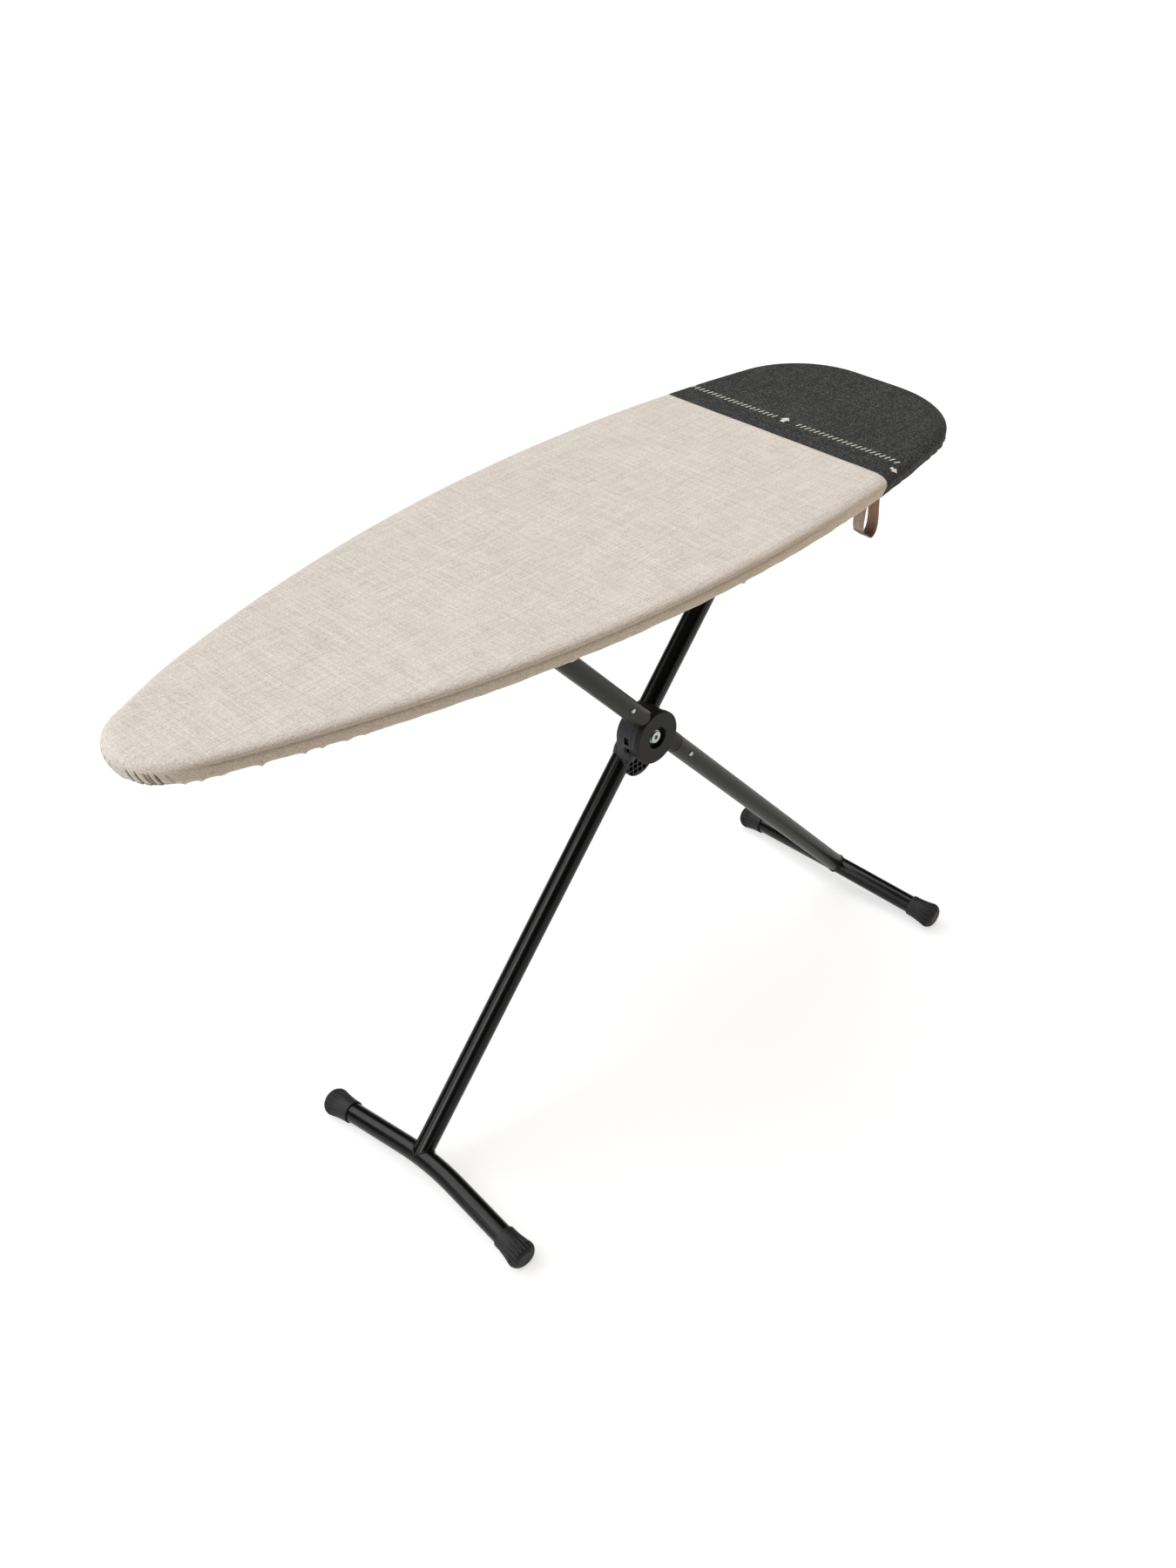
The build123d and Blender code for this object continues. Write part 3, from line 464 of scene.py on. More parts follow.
print("rolls", NOSE_ROLL, SEAM_ROLL)

# %% Rings of the cover
PUCKER_OUT = 1.2 * MM
PUCKER_SAG = 3.0 * MM
FOLD_IN = -1.5 * MM
FOLD_OUT = 0.9 * MM
MOST_LIFT = 1.2 * MM
SWELL = 0.22 * MM


def ring(inset, height, share):
    """Ring of the cover, with its share of the folds."""
    rolled = np.maximum(nose_inset(height), inset) if height < UNDER_LEVEL else nose_inset(height)
    inset_here = inset + (seam_inset(height) - inset) * seam_share * (height > SIDE_LEVEL)
    out = gathers(share) - inset_here - (rolled - inset_here) * nose_share + PUCKER_OUT * share ** 2 * pucker
    points = edge + edge_out * out[:, None]
    under = ease(inset, 2 * MM, 9 * MM)
    sag = share ** 2 * (droop - NOSE_SAG * nose_share - PUCKER_SAG * pucker * (1 - 0.6 * under))
    fold = share * under * np.clip(gathers(1.0), FOLD_IN, FOLD_OUT)
    return np.column_stack([points, np.minimum(height + sag - fold, height + MOST_LIFT)])


def shoulder_ring(turn):
    """Ring of the rounded shoulder, from its foot to the flat top."""
    height = SHOULDER_FOOT + (FLAT_TOP - SHOULDER_FOOT) * math.sin(turn)
    inset = SHOULDER_INSET + shoulder_width * (1 - math.cos(turn))
    inset += (seam_inset(height) - inset) * seam_share
    inset += (nose_inset(height) - inset) * nose_share
    return np.column_stack([edge - edge_out * inset[:, None], np.full(len(edge), height)])


def swell(x, y):
    """Long low waves of the padded top."""
    return SWELL * np.sin(x * 31 + 2.1 * np.sin(y * 23)) * np.sin(y * 37 + 0.7)


def middle_line(points):
    """For each point, the nearest point of the line along the board's middle."""
    along = np.clip(points[:, 0], BOARD_TIP + NOSE, BOARD_TIP + corner_x)
    return np.column_stack([along, np.zeros(len(points))])


def to_middle(share):
    """Ring on the flat top, part of the way to the board's middle line."""
    start = edge - edge_out * shoulder_end[:, None]
    flat = start + (middle_line(edge) - start) * share
    return np.column_stack([flat, FLAT_TOP + ease(share, 0.0, 0.1) * swell(flat[:, 0], flat[:, 1])])


def crease_shade(height):
    """Shade in the groove where the pad ends, which the two rolls don't have."""
    return CREASE_SHADE * falloff(height, CREASE_LEVEL, CREASE_REACH) * (1 - nose_share) * (1 - seam_share)


cover_rings = [ring(*row) for row in hem_rows] + [shoulder_ring(turn) for turn in shoulder_turns]
cover_rings += [to_middle(share) for share in top_shares]
shades = [np.maximum(slit_shade(share), crease_shade(height)) for _, height, share in hem_rows]
shades += [crease_shade(points[0, 2]) for points in cover_rings[len(hem_rows):]]
cover_shade = np.concatenate(shades)
print("rings", len(cover_rings), "of", len(edge))

# %% Loft helper
WELD_DISTANCE = 0.02 * MM


def loft(name, rings, closed=False, shade=None):
    """Mesh object through rings of the same number of points. Closed joins the last ring to the first."""
    count = len(rings[0])
    faces = []
    for place in range(len(rings) if closed else len(rings) - 1):
        low = place * count
        high = (place + 1) % len(rings) * count
        for here in range(count):
            beside = (here + 1) % count
            faces.append((low + here, low + beside, high + beside, high + here))
    mesh = bpy.data.meshes.new(name)
    mesh.from_pydata([tuple(point) for point in np.vstack(rings)], [], faces)
    if shade is not None:
        mesh.attributes.new("fold", "FLOAT", "POINT").data.foreach_set("value", shade.astype(np.float32))
    build = bmesh.new()
    build.from_mesh(mesh)
    bmesh.ops.remove_doubles(build, verts=build.verts, dist=WELD_DISTANCE)
    bmesh.ops.recalc_face_normals(build, faces=build.faces)
    build.to_mesh(mesh)
    build.free()
    mesh.polygons.foreach_set("use_smooth", [True] * len(mesh.polygons))
    made = bpy.data.objects.new(name, mesh)
    scene.collection.objects.link(made)
    return made


print("points closer than", WELD_DISTANCE, "m are welded")

# %% [markdown]
# ## Cutting the cover at its seam
# One loft keeps the two cloths level with each other. It is then cut at the seam into two pieces,
# each a hair short of the seam so that a thin dark line shows there, and each gets the thickness
# of its cloth. Below the crease the elastic drags the seam towards the tip, so there it leans. The
# stitches also draw the cloth in a little on both sides of the seam.

# %% Two cloths
SEAM_X = BOARD_TIP + SEAM
SEAM_GAP = 0.3 * MM
SEAM_DIP = 0.6 * MM
DIP_REACH = 2.6 * MM
SEAM_LEAN = 0.9
SEAM_BEND = 5 * MM
CLOTH = 0.9 * MM


def seam_lean(height):
    """How far the elastic drags the seam at a height: hardly on the top, and more below the crease."""
    below = CREASE_LEVEL - height
    return SEAM_LEAN * (below + math.hypot(below, SEAM_BEND)) / 2


def cloth_piece(name, side):
    """One side of the seam, with its thickness."""
    piece = loft(name, cover_rings, shade=cover_shade)
    build = bmesh.new()
    build.from_mesh(piece.data)
    for vert in build.verts:
        vert.co.x += seam_lean(vert.co.z)
    bmesh.ops.bisect_plane(
        build, geom=build.verts[:] + build.edges[:] + build.faces[:],
        plane_co=(SEAM_X + side * SEAM_GAP, 0, 0), plane_no=(-side, 0, 0), clear_outer=True)
    for vert in build.verts:
        vert.co.x -= seam_lean(vert.co.z)
        dip = SEAM_DIP * float(falloff(vert.co.x, SEAM_X, DIP_REACH))
        upper = float(ease(vert.co.z, CREASE_LEVEL, FLAT_TOP - MM))
        vert.co.z -= dip * upper
        vert.co.y -= math.copysign(dip, vert.co.y) * (1 - upper)
    build.to_mesh(piece.data)
    build.free()
    thick = piece.modifiers.new("cloth", "SOLIDIFY")
    thick.thickness = CLOTH
    thick.offset = -1.0
    return piece


cover_cloth = cloth_piece("cover_cloth", -1)
heat_cloth = cloth_piece("heat_cloth", 1)
print("cover faces", len(cover_cloth.data.polygons), "heat zone faces", len(heat_cloth.data.polygons))

# %% [markdown]
# ## The hem's elastic and the pad
# Under the board the hem ends in a narrow tunnel that holds the elastic, crinkled all the way
# round. The pad is a felt sheet between the cover and the steel top: only its underside shows,
# through the openings of the steel. Both are lofted along the same outline. Under the roll beside
# the seam the pad ends further in, so that it stays below the cloth.

# %% Gathered hem
TUNNEL_INSET = 26.5 * MM
TUNNEL_HEIGHT = 0.9580
TUNNEL_RADIUS = 2.1 * MM
TUNNEL_SIDES = 10
CRINKLE = 0.45 * MM
CRINKLE_PITCH = 9 * MM
crinkle = CRINKLE * np.sin(2 * math.pi * uneven_phase(CRINKLE_PITCH, 0.3))
tunnel_rings = []
for turn in np.linspace(0, 2 * math.pi, TUNNEL_SIDES, endpoint=False):
    reach = TUNNEL_RADIUS + crinkle * (0.6 + 0.4 * math.cos(3 * turn))
    place = edge - edge_out * (TUNNEL_INSET - reach * math.cos(turn))[:, None]
    tunnel_rings.append(np.column_stack([place, TUNNEL_HEIGHT + reach * math.sin(turn)]))
gathered_hem = loft("gathered_hem", tunnel_rings, closed=True)
print("hem", len(gathered_hem.data.vertices), "points")

# %% Felt pad
PAD_INSET = 8 * MM
PAD_ROLL_ROOM = 14 * MM
PAD_EDGE = ((0.0, 0.0), (-0.2 * MM, 0.3), (0.5 * MM, 0.55), (2.2 * MM, 0.8), (5.0 * MM, 0.92))
PAD_SHARES = (0.1, 0.4, 0.7, 1.0)
PAD_BELOW = 0.35 * MM
PAD_ABOVE = 0.12 * MM
DIMPLE = 0.1 * MM
pad_inset = PAD_INSET + PAD_ROLL_ROOM * seam_share
pad_low, pad_high = (corner.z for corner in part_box("foam_pad"))
pad_rings = []
for inset, height in PAD_EDGE:
    place = edge - edge_out * (pad_inset + inset)[:, None]
    pad_rings.append(np.column_stack([place, np.full(len(edge), pad_low + (pad_high - pad_low) * height)]))


def pad_level(height, share):
    """Ring of one of the pad's flat faces, part of the way to the middle line."""
    start = edge - edge_out * (pad_inset + PAD_EDGE[-1][0])[:, None]
    flat = start + (middle_line(start) - start) * share
    dimple = DIMPLE * np.sin(flat[:, 0] * 210) * np.sin(flat[:, 1] * 190)
    return np.column_stack([flat, height + dimple])


upper_face = [pad_level(pad_high - PAD_BELOW, share) for share in PAD_SHARES]
lower_face = [pad_level(pad_low + PAD_ABOVE, share) for share in reversed(PAD_SHARES)]
felt_pad = loft("felt_pad", lower_face + pad_rings + upper_face)
print("pad", [round(value, 4) for value in (pad_low, pad_high)])

# %% [markdown]
# ## Melange cloth and charcoal cloth
# The beige cloth is a cotton weave of dyed and undyed yarn, so it is speckled, with longer slubs
# along both thread directions and no gloss. The heat zone is the same kind of weave under a dark
# coating, which shows a grey speckle and leaves little fuzz. The real yarns lie about 0.6 mm apart,
# too fine for the picture, so the speckle is drawn 1.5 mm wide and the weave 1.8 mm. Noise
# stretched along one axis makes the slubs. The near flank has a painted shade: where it faces the
# near side rather than up, its colour is a little warmer and darker. The slits and the crease are
# darkened by the painted shade that the loft noted for each point.

# %% Woven cloths
SPECKLE = 1.5 * MM
SLUB_LENGTH = 48 * MM
THREAD = 1.8 * MM
PATCH = 90 * MM
PATCH_SHARE = 0.06
NOISE_GRAIN = 1.2
WAVES_PER_SCALE = 3.3
WEAVE_DEPTH = 0.5 * MM
SPECKLE_RELIEF = 1.5
# Facing ranges of the painted flank shade: it fades out where the surface faces up or away from the near
# side.
UPWARD = (0.25, 0.9)
NEARBY = (-0.75, -0.2)


def woven_cloth(name, ground, pale, dark, slub, spread, flank, roughness, fuzz):
    """Melange weave: a ground colour, pale and dark yarn, soft patches, and painted shade on the near flank
    and where the fold attribute is set.
    """
    material, tree, shader = new_material(
        name, Roughness=roughness, Sheen_Weight=fuzz, Sheen_Roughness=0.6, Specular_IOR_Level=0.25)
    coordinates = node(tree, "ShaderNodeTexCoord")
    place = coordinates.outputs["Object"]
    across = node(tree, "ShaderNodeMapping", {"Vector": place, "Scale": (SPECKLE / SLUB_LENGTH, 1, 1)})
    along = node(tree, "ShaderNodeMapping", {"Vector": place, "Scale": (1, SPECKLE / SLUB_LENGTH, 1)})
    yarn = {"Scale": 1 / SPECKLE / NOISE_GRAIN, "Detail": 2.0, "Roughness": 0.65}
    speckle = node(tree, "ShaderNodeTexNoise", {"Vector": place, **yarn}).outputs["Fac"]
    weft = node(tree, "ShaderNodeTexNoise", {"Vector": across.outputs["Vector"], **yarn}).outputs["Fac"]
    warp = node(tree, "ShaderNodeTexNoise", {"Vector": along.outputs["Vector"], **yarn}).outputs["Fac"]
    patch = node(tree, "ShaderNodeTexNoise", {"Vector": place, "Scale": 1 / PATCH, "Detail": 1.0})
    slubs = maths(tree, "MULTIPLY", maths(tree, "ADD", weft, warp), slub)
    yarns = maths(tree, "ADD", speckle, slubs)
    yarns = maths(tree, "MULTIPLY_ADD", patch.outputs["Fac"], PATCH_SHARE, yarns)
    level = 0.5 + slub + PATCH_SHARE / 2
    share = node(tree, "ShaderNodeMapRange", {
        "Value": yarns, "From Min": level - spread, "From Max": level + spread})
    ramp = node(tree, "ShaderNodeValToRGB", {"Fac": share.outputs["Result"]})
    ramp.color_ramp.elements[0].color = linear(dark)
    ramp.color_ramp.elements[1].color = linear(pale)
    ramp.color_ramp.elements.new(0.5).color = linear(ground)
    # Painted shade: where the surface faces the near side rather than up, the colour is multiplied by the
    # warmer, darker flank colour.
    facing = node(tree, "ShaderNodeSeparateXYZ", {"Vector": coordinates.outputs["Normal"]})
    unshaded = []
    for axis, (start, end) in (("Z", UPWARD), ("Y", NEARBY)):
        limits = {"Value": facing.outputs[axis], "From Min": start, "From Max": end}
        unshaded.append(node(tree, "ShaderNodeMapRange", limits).outputs["Result"])
    flank_shade = mixed(tree, maths(tree, "MAXIMUM", *unshaded), linear(flank), linear("ffffff"))
    cloth = mixed(tree, 1.0, ramp.outputs["Color"], flank_shade, "MULTIPLY")
    # Painted shade in the slits and the crease: the loft's fold attribute darkens the colour.
    fold = node(tree, "ShaderNodeAttribute", attribute_name="fold").outputs["Fac"]
    cloth = mixed(tree, fold, cloth, linear("1c150f"))
    tree.links.new(cloth, shader.inputs["Base Color"])
    threads = {"Vector": place, "Scale": 1 / THREAD / WAVES_PER_SCALE, "Distortion": 1.2, "Detail": 1.0}
    bands = [node(tree, "ShaderNodeTexWave", threads, bands_direction=way) for way in ("X", "Y", "Z")]
    crossed = maths(tree, "ADD", bands[0].outputs["Fac"], bands[1].outputs["Fac"])
    crossed = maths(tree, "ADD", crossed, bands[2].outputs["Fac"])
    weave = maths(tree, "MULTIPLY_ADD", speckle, SPECKLE_RELIEF, crossed)
    add_bump(tree, shader, weave, strength=0.22, distance=WEAVE_DEPTH)
    return material


# The flank colour is the painted shade of the near flank.
melange_cotton = woven_cloth(
    "melange_cotton_weave", ground="c2bab2", pale="dad4cd", dark="a0968a", slub=0.55, spread=0.37,
    flank="fbf3e6", roughness=0.95, fuzz=0.15)
coated_cotton = woven_cloth(
    "coated_cotton_weave", ground="1e201f", pale="5a5c5a", dark="070908", slub=0.2, spread=0.2,
    flank="ffffff", roughness=0.8, fuzz=0.02)
print("cloths", melange_cotton.name, coated_cotton.name)

# %% Felt
FIBRE = 1.5 * MM
FIBRE_DEPTH = 0.6 * MM
felt, felt_tree, felt_shader = new_material("needled_felt", Base_Color=linear("b9b7b0"), Roughness=1.0)
felt_fibre = node(felt_tree, "ShaderNodeTexNoise", {"Scale": 1 / FIBRE, "Detail": 4.0})
add_bump(felt_tree, felt_shader, felt_fibre.outputs["Fac"], strength=0.5, distance=FIBRE_DEPTH)
print("felt", felt.name)

# %% Dress the cover
cover_cloth.data.materials.append(melange_cotton)
heat_cloth.data.materials.append(coated_cotton)
felt_pad.data.materials.append(felt)
gathered_hem.data.materials.append(melange_cotton)
gathered_hem.data.materials.append(coated_cotton)
for face in gathered_hem.data.polygons:
    face.material_index = int(face.center.x > SEAM_X)
for piece, target, slot in (
        (cover_cloth, "cover_main", "cover_fabric"), (heat_cloth, "heat_panel", "heat_fabric"),
        (gathered_hem, "hem_elastic", "elastic_band"), (felt_pad, "foam_pad", "pad_foam")):
    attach(piece, "board")
    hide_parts(target)
print("dressed", cover_cloth.name, heat_cloth.name, gathered_hem.name, felt_pad.name)

# %% [markdown]
# ## The print on the heat zone
# A pale line is screen printed across the heat zone, to show where the cloth stands more heat.
# Here it is two rows of thin slanted strokes and two arrow marks. Print has no thickness to speak
# of, so each mark is a thin flat plate two tenths of a millimetre above the cloth. Its points are
# dropped on to the same profile as the cover, so that a mark near the edge bends with it.

# %% Printed marks
PRINT_X = BOARD_TIP + 1.131
PRINT_ROWS = ((0.034, 0.196), (-0.188, -0.006))
STROKE_HEIGHT = 9.5 * MM
STROKE = 2.0 * MM
STROKE_STEP = 8.4 * MM
STROKE_LEAN = 3.2 * MM
ARROW = ((-0.5, 0.0), (0.0, 0.55), (0.5, 0.0), (0.22, 0.0), (0.22, -0.45), (-0.22, -0.45), (-0.22, 0.0))
MIDDLE_ARROW_Y = 0.014
MIDDLE_ARROW_SIZE = (16 * MM, 17 * MM)
EDGE_ARROW = (BOARD_TIP + 1.112, -0.1968)
EDGE_ARROW_SIZE = (13 * MM, 11 * MM)
PRINT_LIFT = 0.2 * MM
PRINT_THICK = 0.4 * MM
NEAR_ROUND = (SEAM_ROLL, -SEAM_SWELL, SEAM_LEVEL, SEAM_POWER)
FAR_ROUND = (SHOULDER - SHOULDER_SKEW, SHOULDER_INSET, SHOULDER_FOOT, 2.0)
marks = bmesh.new()


def on_cover(x, y):
    """Height of the cover's upper face behind its widest place."""
    edge_y = rear_drop + math.sqrt(REAR_FLANK ** 2 - (x - BOARD_TIP - WIDEST) ** 2)
    width, start, foot, power = NEAR_ROUND if y < 0 else FAR_ROUND
    short = start + width - (edge_y - abs(y))
    if short <= 0:
        return FLAT_TOP + ease(-short / (edge_y - start - width), 0.0, 0.1) * swell(x, y)
    return foot + (FLAT_TOP - foot) * rounded(short / width, power)


def mark(corners):
    """One flat mark, on the level until all marks are dropped on the cover."""
    marks.faces.new([marks.verts.new((x, y, 0)) for x, y in corners])


front = PRINT_X - STROKE_HEIGHT / 2
back = PRINT_X + STROKE_HEIGHT / 2
for start, end in PRINT_ROWS:
    for y in np.arange(start, end, STROKE_STEP):
        mark([(front, y), (back, y - STROKE_LEAN), (back, y - STROKE_LEAN + STROKE), (front, y + STROKE)])
wide, long = MIDDLE_ARROW_SIZE
mark([(PRINT_X + long * along, MIDDLE_ARROW_Y - wide * across) for across, along in ARROW])
wide, long = EDGE_ARROW_SIZE
mark([(EDGE_ARROW[0] + wide * across, EDGE_ARROW[1] - long * along) for across, along in ARROW])
bmesh.ops.triangulate(marks, faces=marks.faces[:])
bmesh.ops.subdivide_edges(marks, edges=marks.edges[:], cuts=4, use_grid_fill=True)
for vert in marks.verts:
    vert.co.z = on_cover(vert.co.x, vert.co.y) + PRINT_LIFT
bmesh.ops.recalc_face_normals(marks, faces=marks.faces[:])
for face in marks.faces:
    if face.normal.z < 0:
        face.normal_flip()
print_mesh = bpy.data.meshes.new("printed_line")
marks.to_mesh(print_mesh)
marks.free()
printed_line = bpy.data.objects.new("printed_line", print_mesh)
scene.collection.objects.link(printed_line)
print_body = printed_line.modifiers.new("ink", "SOLIDIFY")
print_body.thickness = PRINT_THICK
print_body.offset = -1.0
print("printed faces", len(print_mesh.polygons))

# %% Screen print ink
# The ink is flat and chalky, and rubbed thin by use.
WORN_SPOT = 3 * MM
print_ink, print_tree, print_shader = new_material("screen_print_ink", Roughness=0.85)
worn = node(print_tree, "ShaderNodeTexNoise", {"Scale": 1 / WORN_SPOT, "Detail": 3.0})
worn_colour = node(print_tree, "ShaderNodeValToRGB", {"Fac": worn.outputs["Fac"]})
worn_colour.color_ramp.elements[0].color = linear("a3a196")
worn_colour.color_ramp.elements[0].position = 0.3
worn_colour.color_ramp.elements[1].color = linear("d0cec1")
worn_colour.color_ramp.elements[1].position = 0.55
print_tree.links.new(worn_colour.outputs["Color"], print_shader.inputs["Base Color"])
print_mesh.materials.append(print_ink)
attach(printed_line, "board")
print("ink on", printed_line.name)

# %% [markdown]
# ## The pull strap
# A strip of soft webbing hangs in a loop from a spool on the release rod: pulling it frees the
# height lock. It is a strip swept along a drawn loop. A smooth spline through a few points
# gives the loop, flat over the spool and creased at the lower left where fingers pull it. Its outer
# face is taupe and its inner face brown.

# %% Strap loop
SPOOL_X = BOARD_TIP + 1.084
SPOOL_Z = 0.947
LOOP = (
    (0.0, 5.6), (-7.4, 5.2), (-11.6, 0.6), (-14.6, -7.0), (-18.0, -17.0), (-20.4, -30.0), (-21.2, -43.0),
    (-18.9, -53.4), (-9.6, -60.6), (0.6, -67.2), (7.4, -63.6), (11.6, -55.0), (12.8, -43.0), (12.2, -28.0),
    (11.6, -13.0), (10.9, 0.4), (7.0, 5.2),
)
FOLD_POINT = 7
STRAP_SHARE = 0.79785
strap_low, strap_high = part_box("pull_strap")
strap_half = STRAP_SHARE * (strap_high.y - strap_low.y) / 2
strap_y = (strap_high.y + strap_low.y) / 2
guide_data = bpy.data.curves.new("strap_guide", "CURVE")
guide_data.dimensions = "3D"
guide_spline = guide_data.splines.new("BEZIER")
guide_spline.bezier_points.add(len(LOOP) - 1)
for place, (point, (x, z)) in enumerate(zip(guide_spline.bezier_points, LOOP)):
    point.co = (SPOOL_X + x * MM, strap_y, SPOOL_Z + z * MM)
    point.handle_left_type = point.handle_right_type = "VECTOR" if place == FOLD_POINT else "AUTO"
guide_spline.use_cyclic_u = True
guide_spline.resolution_u = 8
guide = bpy.data.objects.new("strap_guide", guide_data)
guide_mesh = bpy.data.meshes.new_from_object(guide)
path = np.array([vert.co for vert in guide_mesh.vertices])
bpy.data.objects.remove(guide)
bpy.data.meshes.remove(guide_mesh)
strap_length = np.linalg.norm(np.roll(path, -1, axis=0) - path, axis=1).sum()
print("strap path", len(path), "points,", round(float(strap_length), 3), "m round")

# %% Strap mesh
STRAP_THICK = 1.5 * MM
HALF_SECTION = ((-1.0, 0.0), (-0.94, 1.0), (-0.5, 0.96), (0.0, 0.92), (0.5, 0.96), (0.94, 1.0))
FOLD_LINE = 2.4 * MM
BELOW_FOLD_SHADE = 0.72
ahead = np.roll(path, -1, axis=0) - np.roll(path, 1, axis=0)
ahead /= np.linalg.norm(ahead, axis=1)[:, None]
outside = np.column_stack([-ahead[:, 2], np.zeros(len(path)), ahead[:, 0]])
if np.mean(np.sum(outside * (path - path.mean(axis=0)), axis=1)) < 0:
    outside = -outside
strap_rings = []
for turned in (1.0, -1.0):
    for share, lift in HALF_SECTION:
        across = np.array([0.0, turned * share * strap_half, 0.0])
        strap_rings.append(path + outside * (turned * lift * STRAP_THICK / 2) + across)
steps = np.arange(len(path)) / len(path) * len(LOOP)
fold_at = path[FOLD_POINT * len(path) // len(LOOP)]
# Painted shade: a dark line along the crease and a darker lower face below it, noted for each point as the
# fold attribute.
fold_line_shade = falloff(np.linalg.norm(path - fold_at, axis=1), 0, FOLD_LINE)
below_fold_shade = BELOW_FOLD_SHADE * ease(steps, FOLD_POINT, FOLD_POINT + 0.3)
below_fold_shade *= 1 - ease(steps, FOLD_POINT + 1.6, FOLD_POINT + 2.2)
strap_shade = np.tile(np.maximum(fold_line_shade, below_fold_shade), len(strap_rings))
strap = loft("pull_strap_loop", strap_rings, closed=True, shade=strap_shade)
print("strap", len(strap.data.polygons), "faces")

# %% Strap webbing
RIB = 1.4 * MM
RIB_DEPTH = 0.3 * MM
WEBBING_FIBRE = 4 * MM


def webbing(name, ground, shade):
    """Ribbed woven tape: fine ribs along its length, a soft colour change, and painted shade where the fold
    attribute is set.
    """
    material, tree, shader = new_material(name, Roughness=0.72, Sheen_Weight=0.2, Specular_IOR_Level=0.35)
    place = node(tree, "ShaderNodeTexCoord").outputs["Object"]
    rows = {"Vector": place, "Scale": 1 / RIB / WAVES_PER_SCALE, "Distortion": 0.6}
    ribs = node(tree, "ShaderNodeTexWave", rows, bands_direction="Y")
    fibre = node(tree, "ShaderNodeTexNoise", {"Vector": place, "Scale": 1 / WEBBING_FIBRE, "Detail": 3.0})
    colour = mixed(tree, fibre.outputs["Fac"], linear(ground), linear(shade))
    # Painted shade at the crease and on the face below it, from the fold attribute.
    fold = node(tree, "ShaderNodeAttribute", attribute_name="fold").outputs["Fac"]
    tree.links.new(mixed(tree, fold, colour, linear("2e221a")), shader.inputs["Base Color"])
    add_bump(tree, shader, ribs.outputs["Fac"], strength=0.35, distance=RIB_DEPTH)
    return material


strap.data.materials.append(webbing("taupe_webbing", "baa495", "9d8573"))
strap.data.materials.append(webbing("brown_webbing", "b38c75", "9b745e"))
for face in strap.data.polygons:
    normal = np.array(face.normal)
    near = np.argmin(np.linalg.norm(path[:, [0, 2]] - np.array(face.center)[[0, 2]], axis=1))
    face.material_index = int(normal @ outside[near] < 0)
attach(strap, "release_lever")
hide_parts("pull_strap")
print("webbing on", strap.name)

# %% [markdown]
# ## Paint, plastic, rubber and zinc
# The stand is welded steel tube with a powder coat: a baked, slightly dimpled skin, satin on the
# black leg and a little lighter on the charcoal one. The hinge is moulded nylon with a fine, dull
# grain, the foot caps are moulded rubber, and rods and screws are bright zinc. Each is one shader
# with a fine bump, and a noise that varies its gloss a little, because no real coat is even.

# %% Coats for the stand
CLOUD = 35 * MM
GRAIN_DEPTH = 0.2 * MM


def coat(name, colour, shade, roughness, spread, grain, depth, **sockets):
    """Plain surface with a slight change of colour and gloss, and a grain of a real size."""
    material, tree, shader = new_material(name, **sockets)
    place = node(tree, "ShaderNodeTexCoord").outputs["Object"]
    clouds = {"Vector": place, "Scale": 1 / CLOUD, "Detail": 4.0}
    cloud = node(tree, "ShaderNodeTexNoise", clouds).outputs["Fac"]
    tree.links.new(mixed(tree, cloud, linear(colour), linear(shade)), shader.inputs["Base Color"])
    gloss = node(tree, "ShaderNodeMapRange", {
        "Value": cloud, "To Min": roughness - spread, "To Max": roughness + spread})
    tree.links.new(gloss.outputs["Result"], shader.inputs["Roughness"])
    fine = node(tree, "ShaderNodeTexNoise", {"Vector": place, "Scale": 1 / grain, "Detail": 2.0})
    add_bump(tree, shader, fine.outputs["Fac"], depth, GRAIN_DEPTH)
    return material


COATS = {
    "black_paint": coat(
        "black_powder_coat", "060706", "0a0b0a", 0.22, 0.04, 1.5 * MM, 0.08, Specular_IOR_Level=0.22),
    "charcoal_paint": coat(
        "charcoal_powder_coat", "1e1f17", "23241b", 0.38, 0.05, 1.5 * MM, 0.08, Specular_IOR_Level=0.19),
    "top_steel": coat(
        "graphite_powder_coat", "2c2d2e", "343536", 0.5, 0.05, 1.5 * MM, 0.15),
    "foot_rubber": coat(
        "moulded_rubber", "101010", "171717", 0.58, 0.06, 0.9 * MM, 0.2, Specular_IOR_Level=0.3),
    "black_nylon": coat(
        "black_moulded_nylon", "141415", "1a1a1b", 0.48, 0.06, 0.8 * MM, 0.2, Specular_IOR_Level=0.35),
    "charcoal_nylon": coat(
        "charcoal_moulded_nylon", "191916", "1d1d1a", 0.48, 0.05, 0.8 * MM, 0.15, Specular_IOR_Level=0.16),
    "zinc_steel": coat(
        "bright_zinc", "b9bfc2", "a4abae", 0.32, 0.08, 0.7 * MM, 0.1, Metallic=1.0),
}
for row in frame["record"]["subparts"]:
    finish = COATS.get(row["material_slot"])
    if finish:
        solid = frame["nodes"][row["node"]]
        if not solid.material_slots:
            solid.data.materials.append(finish)
        for slot in solid.material_slots:
            slot.material = finish
print("coats", sorted(COATS))

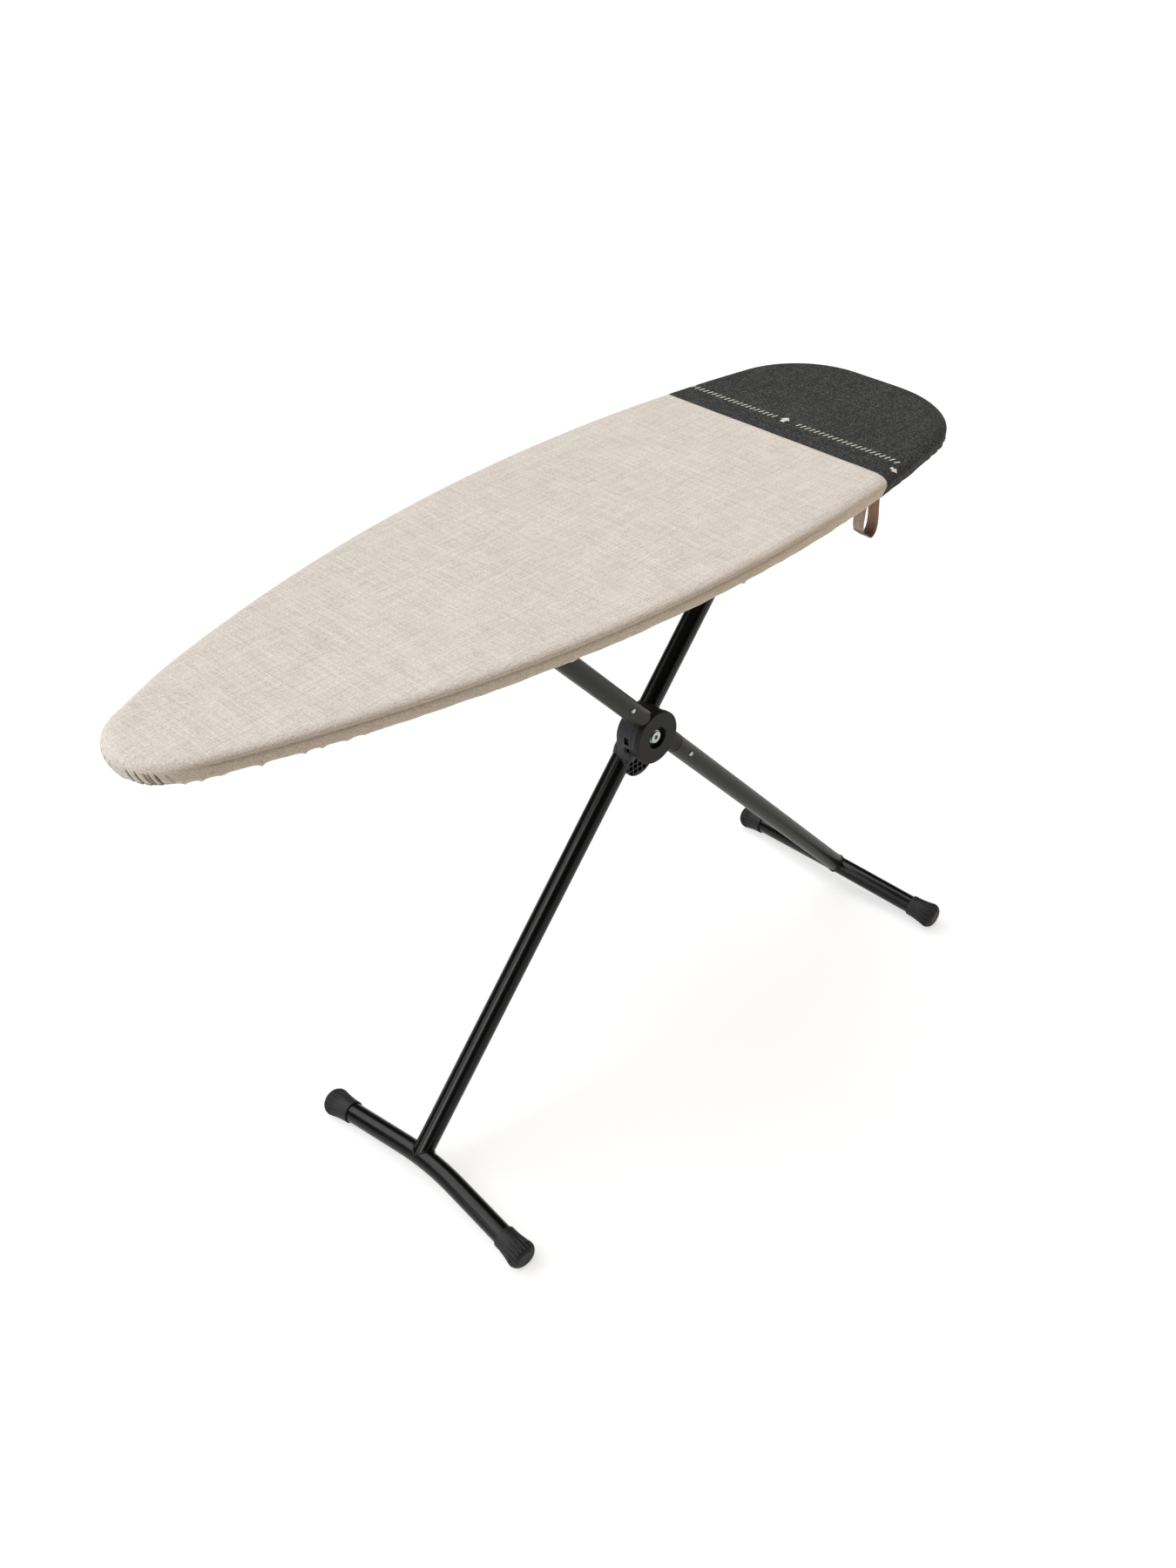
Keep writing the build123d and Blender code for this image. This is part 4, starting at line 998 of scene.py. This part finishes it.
# %% [markdown]
# ## Weld beads
# Each leg is welded to the arched bar of its foot. The paint covers the bead, so only its ripples
# show, as a small collar in the corner between the two tubes. Two round tubes of one size meet
# in a line that rises to a peak on each side, and the bead is a curve along that line with a round
# bevel. The radius of its points goes up and down, one ripple for each drop of the weld.

# %% Beads at the feet
TUBE = 16 * MM
BEAD = 1.5 * MM
BEAD_REACH = TUBE + 0.3 * BEAD
BEAD_POINTS = 72
RIPPLE = 0.16
UNEVEN = 0.1
FOOT_ARCH = 0.550
LEG_TURN = math.radians(48.4)
HINGE = (0.1348, 0.5936)
HINGE_OFFSET = 11 * MM
LEGS = (
    ("front_weld_bead", "front_leg", 1.0, 22.5 * MM, 0.7351),
    ("rear_weld_bead", "rear_leg", -1.0, -10.5 * MM, 0.7547),
)
for name, body, way, leg_y, down in LEGS:
    leg_up = np.array([way * math.cos(LEG_TURN), 0, math.sin(LEG_TURN)])
    aside = np.array([-math.sin(LEG_TURN), 0, way * math.cos(LEG_TURN)])
    root = np.array([HINGE[0] + HINGE_OFFSET * math.sin(LEG_TURN), leg_y,
                     HINGE[1] - way * HINGE_OFFSET * math.cos(LEG_TURN)])
    bead_data = bpy.data.curves.new(name, "CURVE")
    bead_data.dimensions = "3D"
    bead_data.bevel_depth = BEAD
    bead_data.bevel_resolution = 3
    bead = bead_data.splines.new("POLY")
    bead.points.add(BEAD_POINTS - 1)
    for place, point in enumerate(bead.points):
        turn = 2 * math.pi * place / BEAD_POINTS
        along_bar = BEAD_REACH * math.cos(turn)
        beside = BEAD_REACH * math.sin(turn)
        arch_drop = (along_bar + leg_y) ** 2 / (2 * FOOT_ARCH)
        rise = math.sqrt(max(0.0, BEAD_REACH ** 2 - beside ** 2)) - arch_drop
        spot = root + aside * beside + leg_up * (rise - down) + np.array([0, along_bar, 0])
        point.co = (*spot, 1.0)
        point.radius = 1.0 + RIPPLE * math.cos(place * math.pi) + rng.uniform(-UNEVEN, UNEVEN)
    bead.use_cyclic_u = True
    weld = bpy.data.objects.new(name, bead_data)
    scene.collection.objects.link(weld)
    bead_data.materials.append(COATS["black_paint"])
    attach(weld, body)
print("weld beads", [row[0] for row in LEGS])
